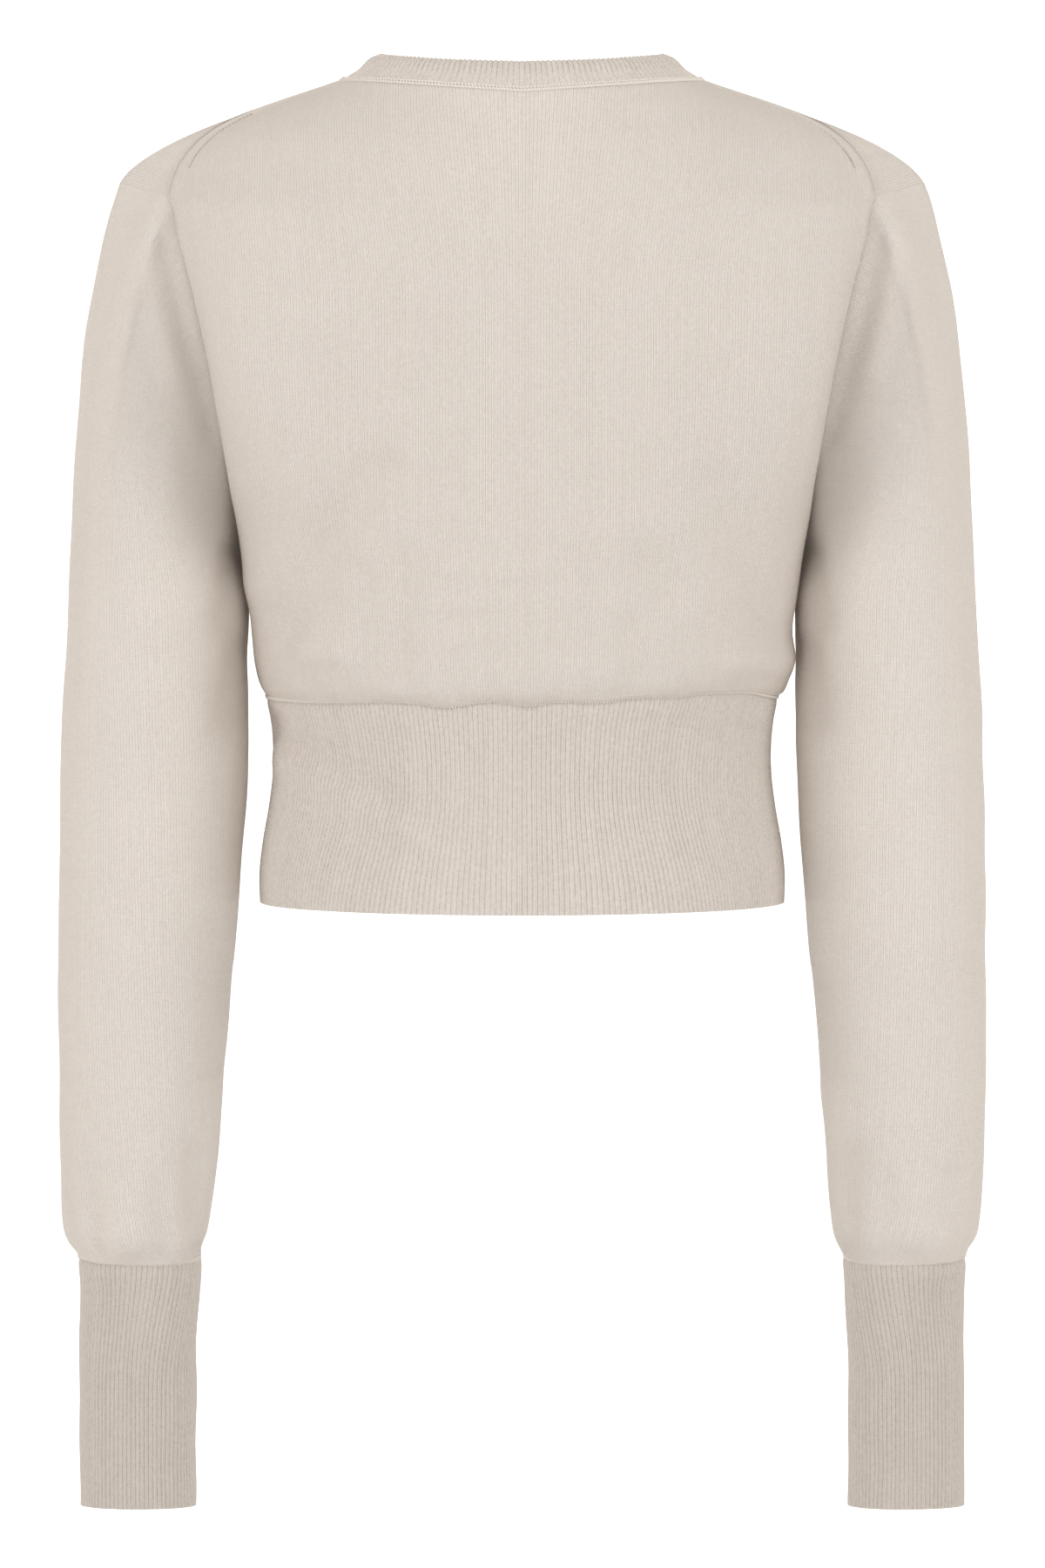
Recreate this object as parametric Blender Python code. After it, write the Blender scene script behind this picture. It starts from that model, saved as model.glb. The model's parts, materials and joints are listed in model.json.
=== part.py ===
"""Cropped cardigan in its worn form, with no wearer.

Fine-knit back, fronts and sleeves, ribbed hem, cuffs and neckband, and a buttoned front.
Units are metres, +Z is up, +X is the wearer's left and -Y is the front. The origin is on
the midline at shoulder height, where the wearer's shoulders carry the garment.

Every piece is a thin wall: a grid of outer points, and inner points moved in by the cloth's
thickness. A panel's rows are Bezier arcs from the midline to its side edge, one for each row
of the tables below. Neighbouring pieces share the same seam points, moved apart by the seam gap.
"""
import math
from collections import namedtuple

import bmesh
import bpy
import numpy as np

# ---- driving sizes ----
CLOTH = 0.0020
SEAM_GAP = 0.0003
RIB_WALL = 0.0019
RIB_RAISE = 0.0008
HEM_RIB_PITCH = 0.0048
CUFF_RIB_PITCH = 0.0050
NECK_RIB_PITCH = 0.0058
INNER_STEP = 4
JOIN_HEIGHT = -0.277
HEM_HEIGHT = -0.377
CUFF_JOIN_HEIGHT = -0.550
BAND_HALF_WIDTH = 0.0120
BAND_LIFT = 0.0010
BUTTON_RADIUS = 0.0056
BUTTON_THICKNESS = 0.0026
BUTTON_CLEARANCE = 0.0006
BUTTON_COUNT = 7
BUTTON_SIDES = 14
BUTTON_TOP_HEIGHT = -0.0760
BUTTON_LOW_HEIGHT = -0.362
BACK_HALF_COLUMNS = 9
FRONT_COLUMNS = 8
CHEST_ROW = 4
CHEST_COLUMN = 2
FINE_STEPS = 600
SHARP_ANGLE = 50

# ---- rings of the body below the underarm, hem upwards ----
Ring = namedtuple("Ring", "height half_width back_y front_y turn")
RINGS = (
    Ring(HEM_HEIGHT, 0.1263, 0.0976, -0.0975, 90),
    Ring(-0.3650, 0.1267, 0.0965, -0.0968, 90),
    Ring(-0.3480, 0.1250, 0.0935, -0.0945, 90),
    Ring(-0.3300, 0.1219, 0.0903, -0.0922, 90),
    Ring(-0.3130, 0.1200, 0.0884, -0.0912, 90),
    Ring(-0.2960, 0.1203, 0.0881, -0.0920, 90),
    Ring(-0.2830, 0.1222, 0.0890, -0.0950, 90),
    Ring(JOIN_HEIGHT, 0.1238, 0.0898, -0.0968, 90),
    Ring(-0.2715, 0.1268, 0.0935, -0.1015, 90),
    Ring(-0.2620, 0.1292, 0.0952, -0.1055, 92),
    Ring(-0.2500, 0.1304, 0.0950, -0.1090, 95),
    Ring(-0.2370, 0.1311, 0.0943, -0.1118, 101),
    Ring(-0.2230, 0.1317, 0.0941, -0.1133, 106),
    Ring(-0.2080, 0.1330, 0.0941, -0.1138, 109),
    Ring(-0.1920, 0.1350, 0.0943, -0.1135, 112),
)
HEM_ROW_HEIGHTS = (HEM_HEIGHT, -0.348, -0.318, -0.2925, JOIN_HEIGHT)
RING_REACH = 0.57
FRONT_SIDE_TURN = 84

# ---- the armhole seam of the wearer's left side, and how the sleeve leaves it ----
Seam = namedtuple("Seam", "x y z leave_x leave_y leave_z run angle")
ARMHOLE = (
    Seam(0.1350, 0.0000, -0.1920, 0.15, 0.00, -0.99, 0.012, 180),
    Seam(0.1368, 0.0100, -0.1890, 0.20, 0.05, -0.98, 0.014, 163),
    Seam(0.1388, 0.0195, -0.1800, 0.30, 0.10, -0.95, 0.018, 146),
    Seam(0.1410, 0.0280, -0.1650, 0.45, 0.10, -0.89, 0.022, 129),
    Seam(0.1452, 0.0360, -0.1400, 0.62, 0.12, -0.78, 0.030, 112),
    Seam(0.1508, 0.0420, -0.1100, 0.72, 0.22, -0.66, 0.036, 95),
    Seam(0.1583, 0.0425, -0.0810, 0.70, 0.38, -0.60, 0.042, 78),
    Seam(0.1655, 0.0370, -0.0550, 0.58, 0.50, -0.64, 0.048, 61),
    Seam(0.1707, 0.0300, -0.0350, 0.45, 0.50, -0.74, 0.055, 44),
    Seam(0.1835, 0.0160, -0.0315, 0.40, 0.32, -0.86, 0.060, 22),
    Seam(0.1947, 0.0000, -0.0286, 0.34, 0.00, -0.94, 0.060, 0),
    Seam(0.1937, -0.0045, -0.0291, 0.35, -0.08, -0.93, 0.060, -6),
    Seam(0.1918, -0.0090, -0.0300, 0.37, -0.16, -0.91, 0.060, -13),
    Seam(0.1887, -0.0131, -0.0314, 0.38, -0.24, -0.89, 0.060, -19),
    Seam(0.1850, -0.0175, -0.0335, 0.40, -0.32, -0.86, 0.059, -26),
    Seam(0.1797, -0.0240, -0.0378, 0.42, -0.42, -0.80, 0.057, -34),
    Seam(0.1740, -0.0300, -0.0430, 0.45, -0.50, -0.74, 0.055, -43),
    Seam(0.1693, -0.0338, -0.0500, 0.52, -0.50, -0.69, 0.051, -51),
    Seam(0.1650, -0.0370, -0.0580, 0.58, -0.50, -0.64, 0.048, -60),
    Seam(0.1578, -0.0415, -0.0810, 0.70, -0.38, -0.60, 0.042, -77),
    Seam(0.1500, -0.0410, -0.1100, 0.72, -0.22, -0.66, 0.036, -94),
    Seam(0.1437, -0.0355, -0.1400, 0.62, -0.12, -0.78, 0.030, -111),
    Seam(0.1392, -0.0275, -0.1650, 0.45, -0.10, -0.89, 0.022, -128),
    Seam(0.1365, -0.0195, -0.1800, 0.30, -0.10, -0.95, 0.018, -146),
    Seam(0.1352, -0.0100, -0.1890, 0.20, -0.05, -0.98, 0.014, -163),
)
BACK_CORNER = 8
ARMHOLE_HUB = np.array((0.158, 0.0, -0.112))

# ---- rows of the back panel beside the armhole ----
BackRow = namedtuple("BackRow", "spine_z spine_y reach turn hold")
BACK_ARM_ROWS = (
    BackRow(-0.1770, 0.0943, 0.58, 110, 0.050),
    BackRow(-0.1620, 0.0940, 0.59, 109, 0.046),
    BackRow(-0.1460, 0.0934, 0.60, 108, 0.042),
    BackRow(-0.1250, 0.0919, 0.61, 109, 0.039),
    BackRow(-0.1020, 0.0895, 0.61, 106, 0.037),
    BackRow(-0.0780, 0.0860, 0.60, 86, 0.036),
    BackRow(-0.0550, 0.0815, 0.57, 66, 0.036),
    BackRow(-0.0350, 0.0770, 0.54, 52, 0.035),
)

# ---- the shoulder seam, neck point to armhole, and the back's rows that end on it ----
SHOULDER_SEAM = np.array((
    (0.0868, 0.0010, 0.0209),
    (0.1300, -0.0050, 0.0065),
    (0.1660, 0.0000, 0.0010),
    (0.1707, 0.0300, -0.0350),
))
NECK_POINT_INWARD = np.array((-0.42, 0.0, -0.91))
BACK_SHOULDER_ROWS = (
    BackRow(-0.0235, 0.0735, 0.50, 46, 0.036),
    BackRow(-0.0135, 0.0700, 0.46, 50, 0.037),
    BackRow(-0.0055, 0.0670, 0.42, 56, 0.038),
    BackRow(0.0010, 0.0638, 0.39, 61, 0.0376),
    BackRow(0.0062, 0.0612, 0.39, 64, 0.036),
    BackRow(0.0108, 0.0588, 0.42, 67, 0.033),
    BackRow(0.0150, 0.0570, 0.46, 72, 0.031),
    BackRow(0.0187, 0.0550, 0.54, 88, 0.030),
)
NECK_ARCH = 0.003
ARCH_START = 0.6

# ---- rows of the front panel: beside the armhole, then over the shoulder ----
FrontRow = namedtuple("FrontRow", "front_z front_y reach turn hold")
FRONT_ARM_ROWS = (
    FrontRow(-0.1770, -0.1128, 0.58, 87, 0.060),
    FrontRow(-0.1620, -0.1108, 0.59, 90, 0.055),
    FrontRow(-0.1450, -0.1076, 0.60, 93, 0.050),
    FrontRow(-0.1260, -0.1030, 0.61, 95, 0.045),
    FrontRow(-0.1060, -0.0973, 0.60, 93, 0.039),
    FrontRow(-0.0860, -0.0905, 0.58, 83, 0.035),
)
NeckRow = namedtuple("NeckRow", "neck inner_hold outer_hold")
FRONT_NECK_ROWS = (
    NeckRow((0.0123, -0.0838, -0.0660), (0.0800, -0.0850, -0.0640), (0.1500, -0.0660, -0.0600)),
    NeckRow((0.0295, -0.0822, -0.0623), (0.0860, -0.0812, -0.0560), (0.1530, -0.0605, -0.0500)),
    NeckRow((0.0450, -0.0775, -0.0545), (0.0920, -0.0755, -0.0470), (0.1560, -0.0540, -0.0400)),
    NeckRow((0.0567, -0.0700, -0.0440), (0.0988, -0.0670, -0.0350), (0.1600, -0.0450, -0.0285)),
    NeckRow((0.0665, -0.0600, -0.0320), (0.1050, -0.0570, -0.0220), (0.1640, -0.0360, -0.0180)),
    NeckRow((0.0742, -0.0480, -0.0185), (0.1108, -0.0440, -0.0106), (0.1690, -0.0255, -0.0120)),
    NeckRow((0.0800, -0.0335, -0.0040), (0.1165, -0.0290, 0.0005), (0.1735, -0.0150, -0.0070)),
    NeckRow((0.0838, -0.0200, 0.0078), (0.1192, -0.0168, 0.0045), (0.1752, -0.0085, -0.0055)),
    NeckRow((0.0860, -0.0060, 0.0190), (0.1215, -0.0045, 0.0072), (0.1767, -0.0020, -0.0046)),
    NeckRow((0.0867, -0.0020, 0.0204), (0.1265, -0.0045, 0.0066), (0.1740, 0.0010, -0.0040)),
)

# ---- the sleeve's rings below the cap, and the cuff's ----
Tube = namedtuple("Tube", "level outer_x inner_x half_depth centre_y")
SLEEVE_RINGS = (
    Tube(-0.2300, 0.2200, 0.1322, 0.0560, -0.008),
    Tube(-0.2540, 0.2212, 0.1320, 0.0540, -0.007),
    Tube(-0.2800, 0.2224, 0.1321, 0.0518, -0.006),
    Tube(-0.3200, 0.2238, 0.1330, 0.0488, -0.005),
    Tube(-0.3600, 0.2247, 0.1359, 0.0468, -0.004),
    Tube(-0.4000, 0.2250, 0.1389, 0.0450, -0.004),
    Tube(-0.4400, 0.2249, 0.1422, 0.0430, -0.006),
    Tube(-0.4800, 0.2245, 0.1456, 0.0405, -0.008),
    Tube(-0.5100, 0.2236, 0.1484, 0.0382, -0.011),
    Tube(-0.5300, 0.2227, 0.1506, 0.0362, -0.013),
    Tube(-0.5420, 0.2207, 0.1522, 0.0342, -0.014),
    Tube(CUFF_JOIN_HEIGHT, 0.2172, 0.1540, 0.0305, -0.014),
)
CUFF_RINGS = (
    Tube(CUFF_JOIN_HEIGHT, 0.2150, 0.1558, 0.0290, -0.014),
    Tube(-0.5640, 0.2142, 0.1572, 0.0280, -0.015),
    Tube(-0.5850, 0.2141, 0.1584, 0.0275, -0.016),
    Tube(-0.6720, 0.2141, 0.1590, 0.0270, -0.020),
)
TUBE_SQUARENESS = 2.15
CAP_ROWS = 7

# ---- the neckband's lean and rise from the neck seam to its top edge ----
Lean = namedtuple("Lean", "facing lean rise")
NECK_LEANS = (
    Lean(0, 0.0090, 0.0130),
    Lean(40, 0.0105, 0.0107),
    Lean(62, 0.0125, 0.0096),
    Lean(85, 0.0160, 0.0104),
    Lean(130, 0.0125, 0.0140),
    Lean(180, 0.0090, 0.0160),
)
NECK_STEPS = ((0.0, 0.0), (0.60, 0.46), (1.0, 1.0))
NECK_CENTRE = np.array((0.0, -0.014, 0.0))

# ---- a button's outline, from the middle of its face round to its flat foot ----
Turning = namedtuple("Turning", "radius lift")
BUTTON_OUTLINE = (
    Turning(0.62, 0.62),
    Turning(0.82, 1.00),
    Turning(1.00, 0.55),
    Turning(0.90, 0.00),
)
BUTTON_DISH = 0.55

# ---- the largest folds: soft troughs (raise < 0) and ridges (raise > 0) ----
Fold = namedtuple("Fold", "piece x0 z0 x1 z1 width raise_by")
FOLDS = (
    Fold("back", 0.067, -0.168, 0.110, -0.238, 0.017, -0.0030),
    Fold("back", 0.095, -0.150, 0.124, -0.215, 0.016, 0.0018),
    Fold("back", 0.094, -0.258, 0.106, -0.253, 0.012, 0.0026),
    Fold("back", 0.050, -0.205, 0.056, -0.262, 0.013, -0.0014),
    Fold("back", -0.067, -0.200, -0.057, -0.258, 0.014, -0.0018),
    Fold("back", -0.104, -0.262, -0.120, -0.256, 0.011, 0.0022),
    Fold("front", 0.060, -0.170, 0.104, -0.236, 0.018, -0.0028),
    Fold("front", -0.052, -0.176, -0.100, -0.232, 0.017, -0.0024),
    Fold("front", 0.085, -0.262, 0.108, -0.256, 0.012, 0.0024),
    Fold("front", -0.070, -0.262, -0.088, -0.258, 0.012, 0.0022),
)


def unit(vectors):
    """Return the vectors at length one."""
    vectors = np.asarray(vectors, dtype=float)
    return vectors / np.linalg.norm(vectors, axis=-1, keepdims=True)


def bezier(start, start_hold, end_hold, end, steps):
    """Return points on a cubic Bezier arc, one for each step from 0 to 1."""
    step = np.asarray(steps, dtype=float)[:, None]
    back = 1.0 - step
    return (back**3 * np.asarray(start) + 3 * back**2 * step * np.asarray(start_hold)
            + 3 * back * step**2 * np.asarray(end_hold) + step**3 * np.asarray(end))


def curve_value(keys, values, key):
    """Interpolate a table column smoothly, with slopes taken from its neighbours."""
    keys = np.asarray(keys, dtype=float)
    values = np.asarray(values, dtype=float)
    slopes = np.gradient(values, keys)
    place = int(np.clip(np.searchsorted(keys, key) - 1, 0, len(keys) - 2))
    span = keys[place + 1] - keys[place]
    part = (key - keys[place]) / span
    near = (1 + 2 * part) * (1 - part) ** 2 * values[place] + part * (1 - part) ** 2 * span * slopes[place]
    far = part**2 * (3 - 2 * part) * values[place + 1] + part**2 * (part - 1) * span * slopes[place + 1]
    return near + far


def table_value(table, key_name, name, key):
    """Interpolate one named column of a table at a key."""
    keys = [getattr(row, key_name) for row in table]
    values = [getattr(row, name) for row in table]
    if keys[0] > keys[-1]:
        keys.reverse()
        values.reverse()
    return curve_value(keys, values, key)


def even_steps(points, count):
    """Return places from 0 to 1 that divide a fine polyline into equal lengths."""
    lengths = np.linalg.norm(np.diff(points, axis=0), axis=1)
    travelled = np.concatenate(([0.0], np.cumsum(lengths)))
    places = np.linspace(0.0, 1.0, len(points))
    return np.interp(np.linspace(0.0, travelled[-1], count + 1), travelled, places)


# ---- seams shared by neighbouring pieces ----

def armhole_points():
    return np.array([(seam.x, seam.y, seam.z) for seam in ARMHOLE])


def armhole_inward():
    """Directions from the armhole seam into the opening, shared by body and sleeve."""
    return unit(ARMHOLE_HUB - armhole_points())


def armhole_apart():
    """Directions across the armhole seam, from the body to the sleeve."""
    points = armhole_points()
    along = unit(np.roll(points, -1, axis=0) - np.roll(points, 1, axis=0))
    across = unit(np.cross(along, armhole_inward()))
    to_sleeve = np.array([(seam.leave_x, seam.leave_y, seam.leave_z) for seam in ARMHOLE])
    signs = np.sign(np.sum(across * to_sleeve, axis=1, keepdims=True))
    return across * signs


def shoulder_steps():
    return np.linspace(0.0, 1.0, FRONT_COLUMNS + 1)


def shoulder_points():
    """Points of the shoulder seam from the neck point to the back corner of the armhole."""
    return bezier(*SHOULDER_SEAM, shoulder_steps())


def shoulder_inward():
    steps = shoulder_steps()[:, None]
    corner = armhole_inward()[BACK_CORNER]
    return unit(NECK_POINT_INWARD * (1.0 - steps) + corner * steps)


def shoulder_apart():
    """Directions across the shoulder seam, from the back panel to the front panel."""
    along = unit(np.gradient(shoulder_points(), axis=0))
    across = unit(np.cross(along, shoulder_inward()))
    return across * np.sign(-across[:, 1:2])


# ---- rows of the panels ----

def back_arc(edge, spine_y, spine_z, reach, turn, hold, arch=0.0):
    """Control points of one back row, from the midline to the wearer's left edge."""
    angle = math.radians(turn)
    edge = np.asarray(edge, dtype=float)
    start = np.array((0.0, spine_y, spine_z))
    start_hold = np.array((reach * edge[0], spine_y, spine_z + arch))
    end_hold = edge + hold * np.array((-math.cos(angle), math.sin(angle), 0.0))
    end_hold[2] += arch
    return start, start_hold, end_hold, edge


def front_arc(edge, front_y, front_z, reach, turn, hold):
    """Control points of one front row, from the front band to the wearer's left edge."""
    angle = math.radians(turn)
    edge = np.asarray(edge, dtype=float)
    start = np.array((BAND_HALF_WIDTH, front_y, front_z))
    start_hold = np.array((reach * edge[0], front_y, front_z))
    end_hold = edge + hold * np.array((-math.cos(angle), -math.sin(angle), 0.0))
    return start, start_hold, end_hold, edge


def ring_value(name, height):
    return table_value(RINGS, "height", name, height)


def back_ring_arc(height):
    back_y = ring_value("back_y", height)
    edge = (ring_value("half_width", height), 0.0, height)
    return back_arc(edge, back_y, height, RING_REACH, ring_value("turn", height), RING_REACH * back_y)


def front_ring_arc(height):
    front_y = ring_value("front_y", height)
    edge = (ring_value("half_width", height), 0.0, height)
    hold = -RING_REACH * front_y
    return front_arc(edge, front_y, height, RING_REACH, FRONT_SIDE_TURN, hold)


def body_heights():
    """Heights of the body's ring rows, from the hem join up to the underarm."""
    return [ring.height for ring in RINGS if ring.height >= JOIN_HEIGHT]


def back_arcs():
    arcs = [back_ring_arc(height) for height in body_heights()]
    seam = armhole_points()
    for place, row in enumerate(BACK_ARM_ROWS, start=1):
        arcs.append(back_arc(seam[place], row.spine_y, row.spine_z, row.reach, row.turn, row.hold))
    shoulder = shoulder_points()[::-1]
    for place, row in enumerate(BACK_SHOULDER_ROWS, start=1):
        share = place / len(BACK_SHOULDER_ROWS)
        arch = NECK_ARCH * max(0.0, share - ARCH_START) / (1.0 - ARCH_START)
        arcs.append(back_arc(shoulder[place], row.spine_y, row.spine_z, row.reach, row.turn,
                             row.hold, arch))
    return arcs


def front_arcs():
    """Rows of the left front, from the hem join to the shoulder seam behind the ridge."""
    arcs = [front_ring_arc(height) for height in body_heights()]
    seam = armhole_points()
    for place, row in enumerate(FRONT_ARM_ROWS, start=1):
        arcs.append(front_arc(seam[-place], row.front_y, row.front_z, row.reach, row.turn, row.hold))
    first_neck = len(FRONT_ARM_ROWS) + 1
    for place, row in enumerate(FRONT_NECK_ROWS, start=first_neck):
        arcs.append((row.neck, row.inner_hold, row.outer_hold, seam[-place]))
    arcs.append(tuple(SHOULDER_SEAM))
    return arcs


def fold_height(piece, point):
    """How far the folds raise a panel's outer point."""
    height = 0.0
    place = np.array((point[0], point[2]))
    for fold in FOLDS:
        if fold.piece != piece:
            continue
        start = np.array((fold.x0, fold.z0))
        run = np.array((fold.x1, fold.z1)) - start
        along = float(np.dot(place - start, run) / np.dot(run, run))
        nearest = start + run * min(max(along, 0.0), 1.0)
        distance = float(np.linalg.norm(place - nearest))
        height += fold.raise_by * math.exp(-((distance / fold.width) ** 2))
    return height


def outward_normals(grid, closed=False):
    """Unit normals of a grid, away from the garment's hollow where rows rise and columns go left."""
    if closed:
        across = np.roll(grid, -1, axis=1) - np.roll(grid, 1, axis=1)
    else:
        across = np.gradient(grid, axis=1)
    rising = np.gradient(grid, axis=0)
    return unit(np.cross(rising, across))


def pull_apart(outer, inner, index, directions, distance):
    """Move a grid's edge, outer and inner points alike, away from its neighbour."""
    outer[index] += np.asarray(directions) * distance
    inner[index] += np.asarray(directions) * distance


# ---- solids ----

def make_material(name, colour, roughness):
    material = bpy.data.materials.new(name)
    material.use_nodes = True
    shader = material.node_tree.nodes["Principled BSDF"]
    shader.inputs["Base Color"].default_value = (*colour, 1.0)
    shader.inputs["Roughness"].default_value = roughness
    shader.inputs["Metallic"].default_value = 0.0
    return material


def add_object(name, vertices, faces, material):
    """Make one closed solid with its faces pointing out."""
    mesh = bpy.data.meshes.new(name)
    mesh.from_pydata([tuple(vertex) for vertex in vertices], [], faces)
    solid = bmesh.new()
    solid.from_mesh(mesh)
    if solid.calc_volume(signed=True) < 0.0:
        bmesh.ops.reverse_faces(solid, faces=solid.faces)
    solid.to_mesh(mesh)
    solid.free()
    mesh.materials.append(material)
    mesh.shade_smooth()
    mesh.set_sharp_from_angle(angle=math.radians(SHARP_ANGLE))
    thing = bpy.data.objects.new(name, mesh)
    bpy.context.collection.objects.link(thing)
    return thing


def rim_faces(outer_ids, inner_ids, step):
    """Close a wall's edge, where each inner span faces several outer ones."""
    faces = []
    for span in range(len(inner_ids) - 1):
        near, far = inner_ids[span], inner_ids[span + 1]
        chain = outer_ids[span * step:(span + 1) * step + 1]
        middle = len(chain) // 2
        faces += [(near, chain[place], chain[place + 1]) for place in range(middle)]
        faces.append((near, chain[middle], far))
        faces += [(far, chain[place], chain[place + 1]) for place in range(middle, len(chain) - 1)]
    return faces


def wall(name, outer, inner, material, closed=False, step=1):
    """Make a wall from an outer grid and an inner one with a column at every step-th outer column."""
    rows, outer_columns = outer.shape[:2]
    inner_columns = inner.shape[1]

    def outer_id(row, column):
        return row * outer_columns + column % outer_columns

    def inner_id(row, column):
        return rows * outer_columns + row * inner_columns + column % inner_columns

    outer_spans = outer_columns if closed else outer_columns - 1
    inner_spans = inner_columns if closed else inner_columns - 1
    faces = []
    for row in range(rows - 1):
        for column in range(outer_spans):
            faces.append((outer_id(row, column), outer_id(row, column + 1),
                          outer_id(row + 1, column + 1), outer_id(row + 1, column)))
        for column in range(inner_spans):
            faces.append((inner_id(row, column), inner_id(row + 1, column),
                          inner_id(row + 1, column + 1), inner_id(row, column + 1)))
    for row in (0, rows - 1):
        outer_edge = [outer_id(row, column) for column in range(outer_spans + 1)]
        inner_edge = [inner_id(row, column) for column in range(inner_spans + 1)]
        rim = rim_faces(outer_edge, inner_edge, step)
        faces += [face[::-1] for face in rim] if row == 0 else rim
    if not closed:
        for row in range(rows - 1):
            faces.append((outer_id(row, 0), outer_id(row + 1, 0), inner_id(row + 1, 0), inner_id(row, 0)))
            faces.append((outer_id(row, outer_columns - 1), inner_id(row, inner_columns - 1),
                          inner_id(row + 1, inner_columns - 1), outer_id(row + 1, outer_columns - 1)))
    vertices = np.concatenate((outer.reshape(-1, 3), inner.reshape(-1, 3)))
    return add_object(name, vertices, faces, material)


def mirrored(grid):
    return grid * np.array((-1.0, 1.0, 1.0))


# ---- the neck seam and the neckband ----

def neck_seam():
    """The left half of the neck seam, from the middle of the back to the front band."""
    back = bezier(*back_arcs()[-1], np.linspace(0.0, 1.0, BACK_HALF_COLUMNS + 1))
    front = [row.neck for row in FRONT_NECK_ROWS[::-1]]
    return np.concatenate((back, np.array(front)))


def neck_frames(points):
    """Way to the neck's axis, lean and rise of the neckband at points of its seam."""
    flat = points * np.array((1.0, 1.0, 0.0)) - NECK_CENTRE
    facing = np.degrees(np.arctan2(np.abs(flat[:, 0]), flat[:, 1]))
    lean = np.array([table_value(NECK_LEANS, "facing", "lean", value) for value in facing])
    rise = np.array([table_value(NECK_LEANS, "facing", "rise", value) for value in facing])
    return -unit(flat), lean, rise


def neckband_row(points, step):
    to_axis, lean, rise = neck_frames(points)
    moved = points + to_axis * (lean * step[0])[:, None]
    moved[:, 2] += rise * step[1]
    return moved


def neck_outward(points):
    """Outward normals of the neckband along its seam, shared with the panels below it."""
    rising = neckband_row(points, NECK_STEPS[1]) - points
    return unit(np.cross(np.gradient(points, axis=0), rising)) * -1.0


def neck_directions(points, full_seam):
    """Inward directions at panel points, read from the nearest points of the whole seam."""
    outward = neck_outward(full_seam)
    nearest = [int(np.argmin(np.linalg.norm(full_seam - point, axis=1))) for point in points]
    directions = -outward[nearest]
    return directions


def build_neckband(material):
    half = neck_seam()
    seam = np.concatenate((mirrored(half[:0:-1]), half))
    fine = np.array([resample(seam, place) for place in np.linspace(0.0, 1.0, FINE_STEPS)])
    length = np.sum(np.linalg.norm(np.diff(fine, axis=0), axis=1))
    ribs = int(round(length / NECK_RIB_PITCH / 2)) * 2
    columns = ribs * 2
    places = even_steps(fine, columns)
    line = np.array([resample(seam, place) for place in places])
    outward = neck_outward(line)
    outer = np.array([neckband_row(line, step) for step in NECK_STEPS])
    inner = outer[:, ::INNER_STEP] - outward[::INNER_STEP] * RIB_WALL
    crest = (np.arange(columns + 1) % 2)[:, None] * outward * RIB_RAISE
    outer[1:] += crest
    away = unit(outer[1] - outer[0])
    outer[0] += away * SEAM_GAP
    inner[0] += away[::INNER_STEP] * SEAM_GAP
    for grid in (outer, inner):
        grid[:, 0, 0] = -BAND_HALF_WIDTH - SEAM_GAP
        grid[:, -1, 0] = BAND_HALF_WIDTH + SEAM_GAP
    return wall("neckband", outer, inner, material, step=INNER_STEP)


def resample(points, place):
    """Read a polyline at a place from 0 to 1, spaced by its point numbers."""
    position = place * (len(points) - 1)
    low = min(int(position), len(points) - 2)
    part = position - low
    return points[low] * (1.0 - part) + points[low + 1] * part


# ---- body panels ----

def folded(piece, outer, outward):
    """Add the panel's largest folds to its inside points, leaving its edges on their seams."""
    shaped = outer.copy()
    for row in range(1, outer.shape[0] - 1):
        for column in range(1, outer.shape[1] - 1):
            shaped[row, column] += outward[row, column] * fold_height(piece, outer[row, column])
    return shaped


def build_back(material):
    steps = np.linspace(0.0, 1.0, BACK_HALF_COLUMNS + 1)
    half = np.array([bezier(*arc, steps) for arc in back_arcs()])
    outer = np.concatenate((mirrored(half[:, :0:-1]), half), axis=1)
    outward = outward_normals(outer)
    outward *= np.sign(outward[CHEST_ROW, BACK_HALF_COLUMNS, 1])
    outer = folded("back", outer, outward)
    inward = -outward
    inward[:, -1], inward[:, 0] = back_edge_inward()
    seam = neck_seam()
    whole_seam = np.concatenate((mirrored(seam[:0:-1]), seam))
    inward[-1] = neck_directions(outer[-1], whole_seam)
    inward[0] = unit(inward[0] * np.array((1.0, 1.0, 0.0)))
    inner = outer + inward * CLOTH
    apart = back_edge_apart()
    half_gap = SEAM_GAP / 2
    pull_apart(outer, inner, (slice(None), -1), apart, half_gap)
    pull_apart(outer, inner, (slice(None), 0), mirrored(apart), half_gap)
    outer[0, :, 2] += half_gap
    inner[0, :, 2] += half_gap
    down = -unit(outer[-1] - outer[-2])
    pull_apart(outer, inner, (-1, slice(None)), down, half_gap)
    return wall("back", outer, inner, material)


def back_edge_inward():
    side_rows = len(body_heights())
    side = np.tile((-1.0, 0.0, 0.0), (side_rows, 1))
    side[-1] = armhole_inward()[0]
    arm = armhole_inward()[1:BACK_CORNER + 1]
    shoulder = shoulder_inward()[::-1][1:]
    left = np.concatenate((side, arm, shoulder))
    return left, mirrored(left)


def back_edge_apart():
    """Ways in which the back's left edge is moved off its neighbours."""
    side_rows = len(body_heights())
    side = np.tile((0.0, 1.0, 0.0), (side_rows, 1))
    side[-1] -= armhole_apart()[0]
    arm = -armhole_apart()[1:BACK_CORNER + 1]
    shoulder = -shoulder_apart()[::-1]
    arm[-1] += shoulder[0]
    return np.concatenate((side, arm, shoulder[1:]))


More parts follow.
